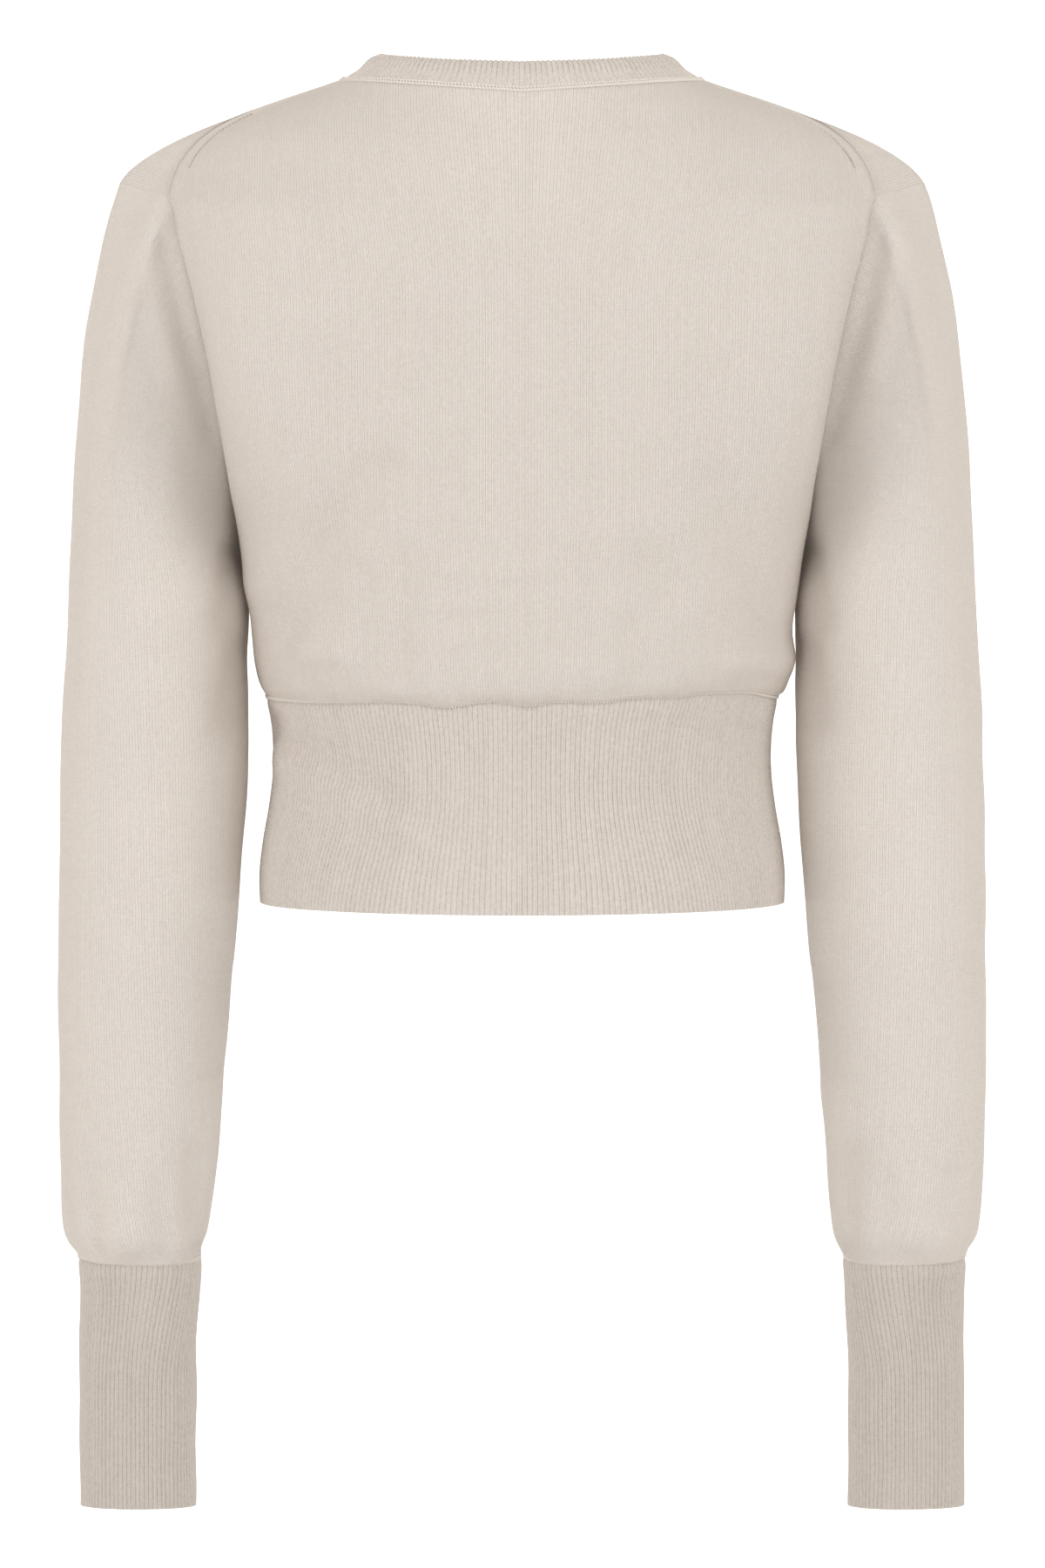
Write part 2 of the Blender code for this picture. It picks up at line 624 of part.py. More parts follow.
def build_front(name, material, side):
    """Make one front panel; side is 1 for the wearer's left and -1 for the right."""
    arcs = front_arcs()
    steps = shoulder_steps()
    outer = np.array([bezier(*arc, steps) for arc in arcs])
    outward = outward_normals(outer)
    outward *= -np.sign(outward[CHEST_ROW, CHEST_COLUMN, 1])
    flip = np.array((side, 1.0, 1.0))
    outer = folded("front", outer * flip, outward * flip) * flip
    inward = -outward
    seam = neck_seam()
    side_rows = len(body_heights())
    edge_count = len(arcs) - side_rows
    corner_order = [0] + [-place for place in range(1, edge_count + 1)]
    inward[:side_rows, -1] = (-1.0, 0.0, 0.0)
    inward[side_rows - 1:, -1] = armhole_inward()[corner_order]
    neck_first = side_rows + len(FRONT_ARM_ROWS)
    inward[neck_first:, 0] = neck_directions(outer[neck_first:, 0], seam)
    inward[-1, 1:] = shoulder_inward()[1:]
    inward[:neck_first, 0] *= np.array((0.0, 1.0, 1.0))
    inward[neck_first, 0] *= np.array((0.0, 1.0, 1.0))
    inward = unit(inward)
    inner = outer + inward * CLOTH
    half_gap = SEAM_GAP / 2
    apart = np.zeros((len(arcs), 3))
    apart[:side_rows] = (0.0, -1.0, 0.0)
    apart[side_rows - 1:] -= armhole_apart()[corner_order]
    pull_apart(outer, inner, (slice(None), -1), apart, half_gap)
    pull_apart(outer, inner, (-1, slice(None)), shoulder_apart(), half_gap)
    outer[0, :, 2] += half_gap
    inner[0, :, 2] += half_gap
    off_neck = unit(outer[neck_first:, 1] - outer[neck_first:, 0])
    pull_apart(outer, inner, (slice(neck_first, None), 0), off_neck, half_gap)
    for grid in (outer, inner):
        grid[:neck_first + 1, 0, 0] = BAND_HALF_WIDTH + SEAM_GAP
    return wall(name, outer * flip, inner * flip, material)


# ---- sleeves and cuffs ----

def tube_ring(tube, angles):
    """Points of a sleeve's ring, as a slightly squared oval."""
    half_width = (tube.outer_x - tube.inner_x) / 2
    centre_x = (tube.outer_x + tube.inner_x) / 2
    power = 2.0 / TUBE_SQUARENESS
    cosines = np.cos(angles)
    sines = np.sin(angles)
    x = centre_x + half_width * np.sign(cosines) * np.abs(cosines) ** power
    y = tube.centre_y + tube.half_depth * np.sign(sines) * np.abs(sines) ** power
    return np.stack((x, y, np.full(len(angles), tube.level)), axis=1)


def build_sleeve(name, material, side):
    angles = np.radians([seam.angle for seam in ARMHOLE])
    start = armhole_points()
    first = tube_ring(SLEEVE_RINGS[0], angles)
    leaving = unit([(seam.leave_x, seam.leave_y, seam.leave_z) for seam in ARMHOLE])
    runs = np.array([seam.run for seam in ARMHOLE])[:, None]
    start_hold = start + leaving * runs
    end_hold = first + unit(first - tube_ring(SLEEVE_RINGS[1], angles)) * runs
    cap = [bezier(start[place], start_hold[place], end_hold[place], first[place],
                  np.linspace(0.0, 1.0, CAP_ROWS + 1)) for place in range(len(ARMHOLE))]
    cap = np.array(cap).transpose(1, 0, 2)
    lower = np.array([tube_ring(tube, angles) for tube in SLEEVE_RINGS[1:]])
    outer = np.concatenate((cap, lower))
    outward = outward_normals(outer, closed=True)
    centre = outer[-1].mean(axis=0)
    outward *= np.sign(np.dot(outward[-1, 0], outer[-1, 0] - centre))
    inward = -outward
    inward[0] = armhole_inward()
    inner = outer + inward * CLOTH
    pull_apart(outer, inner, (0, slice(None)), armhole_apart(), SEAM_GAP / 2)
    outer[-1, :, 2] += SEAM_GAP / 2
    inner[-1, :, 2] += SEAM_GAP / 2
    flip = np.array((side, 1.0, 1.0))
    return wall(name, outer * flip, inner * flip, material, closed=True)


def build_cuff(name, material, side):
    fine = tube_ring(CUFF_RINGS[1], np.linspace(0.0, 2 * math.pi, FINE_STEPS))
    length = np.sum(np.linalg.norm(np.diff(fine, axis=0), axis=1))
    ribs = int(round(length / CUFF_RIB_PITCH / 2)) * 2
    columns = ribs * 2
    angles = even_steps(fine, columns)[:-1] * 2 * math.pi
    outer = np.array([tube_ring(tube, angles) for tube in CUFF_RINGS])
    outward = outer - outer.mean(axis=1, keepdims=True)
    outward = unit(outward * np.array((1.0, 1.0, 0.0)))
    inner = (outer - outward * RIB_WALL)[:, ::INNER_STEP]
    outer += outward * (np.arange(columns) % 2)[:, None] * RIB_RAISE
    outer[0, :, 2] -= SEAM_GAP / 2
    inner[0, :, 2] -= SEAM_GAP / 2
    flip = np.array((side, 1.0, 1.0))
    return wall(name, outer * flip, inner * flip, material, closed=True, step=INNER_STEP)


# ---- hem rib ----

def hem_piece(name, arcs, material, mirror_half, side):
    """Make a piece of the hem rib from the rows of one half, or of both."""
    fine_steps = np.linspace(0.0, 1.0, FINE_STEPS)
    middle = bezier(*arcs[len(arcs) // 2], fine_steps)
    length = np.sum(np.linalg.norm(np.diff(middle, axis=0), axis=1))
    ribs = int(round(length / HEM_RIB_PITCH / 2)) * 2
    steps = even_steps(middle, ribs * 2)
    outer = np.array([bezier(*arc, steps) for arc in arcs])
    if mirror_half:
        outer = np.concatenate((mirrored(outer[:, :0:-1]), outer), axis=1)
    outward = outward_normals(outer)
    outward[:, :, 2] = 0.0
    outward = unit(outward)
    outward *= np.sign(np.dot(outward[0, CHEST_COLUMN, :2], outer[0, CHEST_COLUMN, :2]))
    columns = outer.shape[1]
    edges = (0, -1) if mirror_half else (-1,)
    for column in edges:
        outward[:, column] = (np.sign(outer[0, column, 0]), 0.0, 0.0)
    inner = (outer - outward * RIB_WALL)[:, ::INNER_STEP]
    outer += outward * (np.arange(columns) % 2)[:, None] * RIB_RAISE
    half_gap = SEAM_GAP / 2
    facing = 1.0 if mirror_half else -1.0
    for grid in (outer, inner):
        grid[-1, :, 2] -= half_gap
        for column in edges:
            grid[:, column, 1] += facing * half_gap
        if not mirror_half:
            grid[:, 0, 0] = BAND_HALF_WIDTH + SEAM_GAP
    flip = np.array((side, 1.0, 1.0))
    return wall(name, outer * flip, inner * flip, material, step=INNER_STEP)


def build_hem(material):
    back_rows = [back_ring_arc(height) for height in HEM_ROW_HEIGHTS]
    front_rows = [front_ring_arc(height) for height in HEM_ROW_HEIGHTS]
    hem_piece("hem_back", back_rows, material, True, 1)
    hem_piece("hem_front_left", front_rows, material, False, 1)
    hem_piece("hem_front_right", front_rows, material, False, -1)


# ---- front bands and buttons ----

def front_profile():
    """Points of the front's midline, from the hem to the neckband's top edge."""
    points = [(0.0, ring_value("front_y", ring.height), ring.height) for ring in RINGS]
    points += [(0.0, row.front_y, row.front_z) for row in FRONT_ARM_ROWS]
    neck = np.array(FRONT_NECK_ROWS[0].neck) * np.array((0.0, 1.0, 1.0))
    line = np.array(points + [tuple(neck)])
    collar = np.array([neckband_row(neck[None, :], step)[0] for step in NECK_STEPS[1:]])
    return np.concatenate((line, collar))


def profile_outward(profile):
    """Outward normals of the front's midline."""
    along = unit(np.gradient(profile, axis=0))
    return np.stack((along[:, 0], -along[:, 2], along[:, 1]), axis=1)


def build_band(name, material, lift):
    profile = front_profile()
    outward = profile_outward(profile)
    spread = np.array((-BAND_HALF_WIDTH, 0.0, BAND_HALF_WIDTH))
    outer = np.repeat((profile + outward * lift)[:, None], len(spread), axis=1)
    outer[:, :, 0] = spread
    inner = outer - outward[:, None] * CLOTH
    return wall(name, outer, inner, material)


def button_frame(height):
    """Middle and outward direction of the over band's face at a height."""
    profile = front_profile()
    outward = profile_outward(profile)
    middle_y = np.interp(height, profile[:, 2], profile[:, 1])
    facing = unit([np.interp(height, profile[:, 2], outward[:, axis]) for axis in range(3)])
    middle = np.array((0.0, middle_y, height))
    return middle, facing


def build_button(name, height, material):
    """Turn a button: a dished face, a rounded edge and a flat back."""
    middle, facing = button_frame(height)
    side_way = np.array((1.0, 0.0, 0.0))
    up_way = np.cross(facing, side_way)
    foot = middle + facing * (BAND_LIFT + BUTTON_CLEARANCE)
    vertices = []
    for turning in BUTTON_OUTLINE:
        rim = turning.radius * BUTTON_RADIUS
        for place in range(BUTTON_SIDES):
            angle = 2 * math.pi * place / BUTTON_SIDES
            around = side_way * math.cos(angle) + up_way * math.sin(angle)
            vertices.append(foot + around * rim + facing * turning.lift * BUTTON_THICKNESS)
    top = len(vertices)
    vertices.append(foot + facing * BUTTON_DISH * BUTTON_THICKNESS)
    vertices.append(foot)
    faces = []
    for ring in range(len(BUTTON_OUTLINE) - 1):
        for place in range(BUTTON_SIDES):
            near = ring * BUTTON_SIDES + place
            far = ring * BUTTON_SIDES + (place + 1) % BUTTON_SIDES
            faces.append((near, near + BUTTON_SIDES, far + BUTTON_SIDES, far))
    last = (len(BUTTON_OUTLINE) - 1) * BUTTON_SIDES
    for place in range(BUTTON_SIDES):
        following = (place + 1) % BUTTON_SIDES
        faces.append((top, place, following))
        faces.append((top + 1, last + following, last + place))
    return add_object(name, vertices, faces, material)


def build_buttons(material):
    heights = np.linspace(BUTTON_TOP_HEIGHT, BUTTON_LOW_HEIGHT, BUTTON_COUNT)
    for number, height in enumerate(heights, start=1):
        build_button(f"button_{number}", float(height), material)


def clear_scene():
    for thing in list(bpy.data.objects):
        bpy.data.objects.remove(thing, do_unlink=True)


def main():
    clear_scene()
    body_knit = make_material("body_knit", (0.72, 0.67, 0.60), 0.90)
    rib_knit = make_material("rib_knit", (0.68, 0.62, 0.55), 0.92)
    shell = make_material("button_shell", (0.78, 0.74, 0.66), 0.35)
    build_back(body_knit)
    build_front("front_left", body_knit, 1)
    build_front("front_right", body_knit, -1)
    build_sleeve("sleeve_left", body_knit, 1)
    build_sleeve("sleeve_right", body_knit, -1)
    build_cuff("cuff_left", rib_knit, 1)
    build_cuff("cuff_right", rib_knit, -1)
    build_hem(rib_knit)
    build_neckband(rib_knit)
    build_band("band_under", rib_knit, -CLOTH / 2 - SEAM_GAP)
    build_band("band_over", rib_knit, BAND_LIFT)
    build_buttons(shell)


main()
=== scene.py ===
# %% [markdown]
# # A cropped cardigan, filled out with no wearer
#
# The object is a fine-gauge buttoned cardigan, seen from behind. Its back, fronts and sleeves are
# plain knit, and its hem, cuffs and neckband are one-by-one rib. Units are metres. +Z is up, +X is
# the wearer's left and the front opening faces -Y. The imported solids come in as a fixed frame, and
# each cloth piece made here is a thin shell that lies on its solid's form and stands for it.

# %% The frame
import json
import math
from collections import namedtuple

import bpy
import numpy as np
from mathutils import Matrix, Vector

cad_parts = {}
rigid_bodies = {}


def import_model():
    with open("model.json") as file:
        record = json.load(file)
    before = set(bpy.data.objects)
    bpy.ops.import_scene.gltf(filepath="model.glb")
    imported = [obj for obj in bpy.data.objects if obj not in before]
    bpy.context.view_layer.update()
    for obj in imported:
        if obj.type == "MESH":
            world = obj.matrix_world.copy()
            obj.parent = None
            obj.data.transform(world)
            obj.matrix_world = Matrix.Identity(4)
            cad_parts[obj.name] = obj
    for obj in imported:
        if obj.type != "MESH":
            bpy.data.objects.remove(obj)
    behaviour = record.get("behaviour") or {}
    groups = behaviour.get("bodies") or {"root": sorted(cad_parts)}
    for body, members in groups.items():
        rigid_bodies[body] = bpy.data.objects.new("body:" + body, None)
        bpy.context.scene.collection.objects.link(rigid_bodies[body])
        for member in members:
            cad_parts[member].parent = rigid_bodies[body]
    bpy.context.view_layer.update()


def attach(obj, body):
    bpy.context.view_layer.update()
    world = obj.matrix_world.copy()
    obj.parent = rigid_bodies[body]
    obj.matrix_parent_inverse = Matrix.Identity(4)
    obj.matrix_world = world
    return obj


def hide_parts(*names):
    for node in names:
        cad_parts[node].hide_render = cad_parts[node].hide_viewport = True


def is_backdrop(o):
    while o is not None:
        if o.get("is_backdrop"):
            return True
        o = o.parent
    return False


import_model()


def make_table(name, fields, *rows):
    """A table whose rows can be read by field."""
    kind = namedtuple(name, fields)
    return tuple(kind(*row) for row in rows)


def new_mesh(name, points, faces):
    """A mesh from lists of points and faces."""
    mesh = bpy.data.meshes.new(name)
    mesh.from_pydata(points, [], faces)
    return mesh


def add_object(name, data):
    """A new object in the scene, at the origin, with this mesh, lamp or camera."""
    thing = bpy.data.objects.new(name, data)
    bpy.context.scene.collection.objects.link(thing)
    return thing


def set_inputs(node, **values):
    """Set a node's inputs to plain values, each by its label with _ for a space."""
    for label, value in values.items():
        node.inputs[label.replace("_", " ")].default_value = value


# %% [markdown]
# ## The camera and the light
#
# A garment shop photograph is taken from far away with a long lens, so that the sleeves don't look
# bigger than the body. The camera stands behind the garment, a little above it. One picture pixel
# is 0.42 mm on the object, and the lens length follows from that and from the distance. The light
# is almost shadowless: a pale surround, with large soft panels on all sides and above, so that
# folds show as faint shading rather than as hard shadows.

# %% The camera
PICTURE_WIDTH = 1200
PICTURE_HEIGHT = 1800
METRES_PER_PIXEL = 0.00042
MIDLINE_PIXEL = 599.5
SHOULDER_PIXEL = 140.0
ELEVATION = math.radians(3.7)
CAMERA_DISTANCE = 12.0
SHARP_DEPTH = 0.030
FILM_HEIGHT = 36.0
FAR_CLIP = 200.0

scene = bpy.context.scene
scene.view_settings.view_transform = "Standard"
view_up = np.array((0.0, -math.sin(ELEVATION), math.cos(ELEVATION)))
view_back = np.array((0.0, math.cos(ELEVATION), math.sin(ELEVATION)))
middle_across = (MIDLINE_PIXEL - PICTURE_WIDTH / 2) * METRES_PER_PIXEL
middle_up = (SHOULDER_PIXEL - PICTURE_HEIGHT / 2) * METRES_PER_PIXEL
aim = np.array((middle_across, 0.0, 0.0)) + view_up * middle_up + view_back * SHARP_DEPTH
camera_data = bpy.data.cameras.new("camera")
camera_data.sensor_fit = "VERTICAL"
camera_data.sensor_height = FILM_HEIGHT
camera_data.lens = FILM_HEIGHT * CAMERA_DISTANCE / (PICTURE_HEIGHT * METRES_PER_PIXEL)
camera_data.clip_end = FAR_CLIP
camera = add_object("camera", camera_data)
camera.location = aim + view_back * CAMERA_DISTANCE
camera.rotation_euler = (math.pi / 2 - ELEVATION, 0.0, math.pi)
scene.camera = camera
print("lens mm:", round(camera_data.lens, 1), "camera at", np.round(camera.location, 3).tolist())

# %% The light
LIGHT_PANELS = make_table(
    "Panel", "name x y z width height power",
    ("light_camera_side", 0.1, 3.6, 0.1, 4.6, 2.4, 14.5),
    ("light_above", 0.4, 1.5, 2.0, 2.4, 1.4, 1.0),
    ("light_left", 2.45, 1.55, 0.3, 1.4, 2.2, 20.5),
    ("light_right", -2.45, 1.55, 0.3, 1.4, 2.2, 19.5),
    ("light_far_side", -0.3, -3.6, 0.3, 4.6, 2.4, 48.0),
)
LIGHT_TARGET = Vector((0.0, 0.0, -0.30))
SURROUND = 0.76

for panel in LIGHT_PANELS:
    lamp = bpy.data.lights.new(panel.name, "AREA")
    lamp.shape = "RECTANGLE"
    lamp.size = panel.width
    lamp.size_y = panel.height
    lamp.energy = panel.power
    stand = add_object(panel.name, lamp)
    stand.location = (panel.x, panel.y, panel.z)
    stand.rotation_euler = (LIGHT_TARGET - stand.location).to_track_quat("-Z", "Y").to_euler()

world = bpy.data.worlds.new("surround")
world.use_nodes = True
set_inputs(world.node_tree.nodes["Background"], Color=(1.0, 1.0, 1.0, 1.0), Strength=SURROUND)
scene.world = world
print("light panels:", len(LIGHT_PANELS), "surround:", SURROUND)

# %% [markdown]
# ## The floor
#
# Shop pictures of knitwear are shown on pure white. The floor is one very large square, so the
# camera's view ends on it, and it glows a little, so that it stays white without stronger lamps.
# It is hidden from the light that bounces, because its glow would wash out the garment's shading.

# %% The floor
FLOOR_HEIGHT = -0.90
FLOOR_HALF = 60.0
FLOOR_TONE = 0.93
FLOOR_ROUGHNESS = 0.9
FLOOR_GLOW = 0.75

floor_corners = [(x * FLOOR_HALF, y * FLOOR_HALF, FLOOR_HEIGHT)
                 for x, y in ((-1, -1), (1, -1), (1, 1), (-1, 1))]
floor_mesh = new_mesh("floor", floor_corners, [(0, 1, 2, 3)])
floor = add_object("floor", floor_mesh)
floor_paint = bpy.data.materials.new("floor_paint")
floor_paint.use_nodes = True
set_inputs(floor_paint.node_tree.nodes["Principled BSDF"],
           Base_Color=(FLOOR_TONE, FLOOR_TONE, FLOOR_TONE, 1.0), Roughness=FLOOR_ROUGHNESS,
           Emission_Color=(1.0, 1.0, 1.0, 1.0), Emission_Strength=FLOOR_GLOW)
floor_mesh.materials.append(floor_paint)
floor.visible_diffuse = False
floor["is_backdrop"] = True
print("floor at", FLOOR_HEIGHT)

# %% [markdown]
# ## The garment's cut as tables
#
# A knitted panel has no flat faces. Its form is read here as rows: one smooth arc from the
# midline to the side edge at each height. A few rows in a table, with cubic curves between them,
# give the whole panel, and a change to one number moves a whole stretch of cloth smoothly.
# The seams are tables too. Both pieces that meet at a seam read the same points, so they can't
# drift apart. Turns and angles are in degrees, and reaches are shares of a row's half width.

# %% Rings of the body below the underarm
JOIN_HEIGHT = -0.277
HEM_HEIGHT = -0.377
CUFF_JOIN_HEIGHT = -0.550
BAND_HALF_WIDTH = 0.0120

# turn: the way in which the back's row comes in at the side; 90 is straight from behind.
RINGS = make_table(
    "Ring", "height half_width back_y front_y turn",
    (HEM_HEIGHT, 0.1263, 0.0976, -0.0975, 90),
    (-0.3650, 0.1267, 0.0965, -0.0968, 90),
    (-0.3480, 0.1250, 0.0935, -0.0945, 90),
    (-0.3300, 0.1219, 0.0903, -0.0922, 90),
    (-0.3130, 0.1200, 0.0884, -0.0912, 90),
    (-0.2960, 0.1203, 0.0881, -0.0920, 90),
    (-0.2830, 0.1222, 0.0890, -0.0950, 90),
    (JOIN_HEIGHT, 0.1238, 0.0898, -0.0968, 90),
    (-0.2715, 0.1268, 0.0935, -0.1015, 90),
    (-0.2620, 0.1292, 0.0952, -0.1055, 92),
    (-0.2500, 0.1304, 0.0950, -0.1090, 95),
    (-0.2370, 0.1311, 0.0943, -0.1118, 101),
    (-0.2230, 0.1317, 0.0941, -0.1133, 106),
    (-0.2080, 0.1330, 0.0941, -0.1138, 109),
    (-0.1920, 0.1350, 0.0943, -0.1135, 112),
)
RING_REACH = 0.57
FRONT_SIDE_TURN = 84

# %% The armhole seam, and how the sleeve leaves it
# The sleeve leaves the seam along leave for the length run, and lands on its tube at angle.
ARMHOLE = make_table(
    "Seam", "x y z leave_x leave_y leave_z run angle",
    (0.1350, 0.0000, -0.1920, 0.15, 0.00, -0.99, 0.012, 180),
    (0.1368, 0.0100, -0.1890, 0.20, 0.05, -0.98, 0.014, 163),
    (0.1388, 0.0195, -0.1800, 0.30, 0.10, -0.95, 0.018, 146),
    (0.1410, 0.0280, -0.1650, 0.45, 0.10, -0.89, 0.022, 129),
    (0.1452, 0.0360, -0.1400, 0.62, 0.12, -0.78, 0.030, 112),
    (0.1508, 0.0420, -0.1100, 0.72, 0.22, -0.66, 0.036, 95),
    (0.1583, 0.0425, -0.0810, 0.70, 0.38, -0.60, 0.042, 78),
    (0.1655, 0.0370, -0.0550, 0.58, 0.50, -0.64, 0.048, 61),
    (0.1707, 0.0300, -0.0350, 0.45, 0.50, -0.74, 0.055, 44),
    (0.1835, 0.0160, -0.0315, 0.40, 0.32, -0.86, 0.060, 22),
    (0.1947, 0.0000, -0.0286, 0.34, 0.00, -0.94, 0.060, 0),
    (0.1937, -0.0045, -0.0291, 0.35, -0.08, -0.93, 0.060, -6),
    (0.1918, -0.0090, -0.0300, 0.37, -0.16, -0.91, 0.060, -13),
    (0.1887, -0.0131, -0.0314, 0.38, -0.24, -0.89, 0.060, -19),
    (0.1850, -0.0175, -0.0335, 0.40, -0.32, -0.86, 0.059, -26),
    (0.1797, -0.0240, -0.0378, 0.42, -0.42, -0.80, 0.057, -34),
    (0.1740, -0.0300, -0.0430, 0.45, -0.50, -0.74, 0.055, -43),
    (0.1693, -0.0338, -0.0500, 0.52, -0.50, -0.69, 0.051, -51),
    (0.1650, -0.0370, -0.0580, 0.58, -0.50, -0.64, 0.048, -60),
    (0.1578, -0.0415, -0.0810, 0.70, -0.38, -0.60, 0.042, -77),
    (0.1500, -0.0410, -0.1100, 0.72, -0.22, -0.66, 0.036, -94),
    (0.1437, -0.0355, -0.1400, 0.62, -0.12, -0.78, 0.030, -111),
    (0.1392, -0.0275, -0.1650, 0.45, -0.10, -0.89, 0.022, -128),
    (0.1365, -0.0195, -0.1800, 0.30, -0.10, -0.95, 0.018, -146),
    (0.1352, -0.0100, -0.1890, 0.20, -0.05, -0.98, 0.014, -163),
)
# The shoulder seam ends on this row of the table.
BACK_CORNER = 8

# %% Rows of the back and of the front
# hold: how far the row keeps its direction before it reaches the edge.
BACK_FIELDS = "spine_z spine_y reach turn hold"
BACK_ARM_ROWS = make_table(
    "BackRow", BACK_FIELDS,
    (-0.1770, 0.0943, 0.58, 110, 0.050),
    (-0.1620, 0.0940, 0.59, 109, 0.046),
    (-0.1460, 0.0934, 0.60, 108, 0.042),
    (-0.1250, 0.0919, 0.61, 109, 0.039),
    (-0.1020, 0.0895, 0.61, 106, 0.037),
    (-0.0780, 0.0860, 0.60, 86, 0.036),
    (-0.0550, 0.0815, 0.57, 66, 0.036),
    (-0.0350, 0.0770, 0.54, 52, 0.035),
)
BACK_SHOULDER_ROWS = make_table(
    "BackRow", BACK_FIELDS,
    (-0.0235, 0.0735, 0.50, 46, 0.036),
    (-0.0135, 0.0700, 0.46, 50, 0.037),
    (-0.0055, 0.0670, 0.42, 56, 0.038),
    (0.0010, 0.0638, 0.39, 61, 0.0376),
    (0.0062, 0.0612, 0.39, 64, 0.036),
    (0.0108, 0.0588, 0.42, 67, 0.033),
    (0.0150, 0.0570, 0.46, 72, 0.031),
    (0.0187, 0.0550, 0.54, 88, 0.030),
)
NECK_ARCH = 0.003
ARCH_START = 0.6

FRONT_ARM_ROWS = make_table(
    "FrontRow", "front_z front_y reach turn hold",
    (-0.1770, -0.1128, 0.58, 87, 0.060),
    (-0.1620, -0.1108, 0.59, 90, 0.055),
    (-0.1450, -0.1076, 0.60, 93, 0.050),
    (-0.1260, -0.1030, 0.61, 95, 0.045),
    (-0.1060, -0.0973, 0.60, 93, 0.039),
    (-0.0860, -0.0905, 0.58, 83, 0.035),
)
# A row from the neck edge to the armhole, with the two points that pull its arc.
FRONT_NECK_ROWS = make_table(
    "NeckRow", "neck inner_hold outer_hold",
    ((0.0123, -0.0838, -0.0660), (0.0800, -0.0850, -0.0640), (0.1500, -0.0660, -0.0600)),
    ((0.0295, -0.0822, -0.0623), (0.0860, -0.0812, -0.0560), (0.1530, -0.0605, -0.0500)),
    ((0.0450, -0.0775, -0.0545), (0.0920, -0.0755, -0.0470), (0.1560, -0.0540, -0.0400)),
    ((0.0567, -0.0700, -0.0440), (0.0988, -0.0670, -0.0350), (0.1600, -0.0450, -0.0285)),
    ((0.0665, -0.0600, -0.0320), (0.1050, -0.0570, -0.0220), (0.1640, -0.0360, -0.0180)),
    ((0.0742, -0.0480, -0.0185), (0.1108, -0.0440, -0.0106), (0.1690, -0.0255, -0.0120)),
    ((0.0800, -0.0335, -0.0040), (0.1165, -0.0290, 0.0005), (0.1735, -0.0150, -0.0070)),
    ((0.0838, -0.0200, 0.0078), (0.1192, -0.0168, 0.0045), (0.1752, -0.0085, -0.0055)),
    ((0.0860, -0.0060, 0.0190), (0.1215, -0.0045, 0.0072), (0.1767, -0.0020, -0.0046)),
    ((0.0867, -0.0020, 0.0204), (0.1265, -0.0045, 0.0066), (0.1740, 0.0010, -0.0040)),
)

# %% Rings of the sleeve and of the cuff
TUBE_FIELDS = "level outer_x inner_x half_depth centre_y"
SLEEVE_RINGS = make_table(
    "Tube", TUBE_FIELDS,
    (-0.2300, 0.2200, 0.1322, 0.0560, -0.008),
    (-0.2540, 0.2212, 0.1320, 0.0540, -0.007),
    (-0.2800, 0.2224, 0.1321, 0.0518, -0.006),
    (-0.3200, 0.2238, 0.1330, 0.0488, -0.005),
    (-0.3600, 0.2247, 0.1359, 0.0468, -0.004),
    (-0.4000, 0.2250, 0.1389, 0.0450, -0.004),
    (-0.4400, 0.2249, 0.1422, 0.0430, -0.006),
    (-0.4800, 0.2245, 0.1456, 0.0405, -0.008),
    (-0.5100, 0.2236, 0.1484, 0.0382, -0.011),
    (-0.5300, 0.2227, 0.1506, 0.0362, -0.013),
    (-0.5420, 0.2207, 0.1522, 0.0342, -0.014),
    (CUFF_JOIN_HEIGHT, 0.2172, 0.1540, 0.0305, -0.014),
)
CUFF_RINGS = make_table(
    "Tube", TUBE_FIELDS,
    (CUFF_JOIN_HEIGHT, 0.2150, 0.1558, 0.0290, -0.014),
    (-0.5640, 0.2142, 0.1572, 0.0280, -0.015),
    (-0.5850, 0.2141, 0.1584, 0.0275, -0.016),
    (-0.6720, 0.2141, 0.1590, 0.0270, -0.020),
)
# 2 makes a tube's ring an ellipse; a higher number fills its corners.
TUBE_SQUARENESS = 2.15

# %% [markdown]
# ## Smooth curves through a table
#
# Blender has curves of its own, but a panel needs hundreds of rows that all agree. So the rows
# are worked out as arrays of numbers. Between two rows of a table a cubic runs through both, with
# slopes taken from the rows beside them, so that no row shows as a crease.

# %% Curve helpers
FINE = 0.0027
TINY = 1e-12
EDGE_SLOPE_WRAP = 3


def unit(vectors):
    """Return the vectors at length one."""
    vectors = np.asarray(vectors, dtype=float)
    return vectors / np.maximum(np.linalg.norm(vectors, axis=-1, keepdims=True), TINY)


def bezier(controls, steps):
    """Points of one cubic arc for each row of controls (rows, 4, 3)."""
    step = np.asarray(steps, dtype=float)[None, :, None]
    back = 1.0 - step
    first, second, third, last = (controls[:, place][:, None] for place in range(4))
    return (back**3 * first + 3 * back**2 * step * second + 3 * back * step**2 * third
            + step**3 * last)


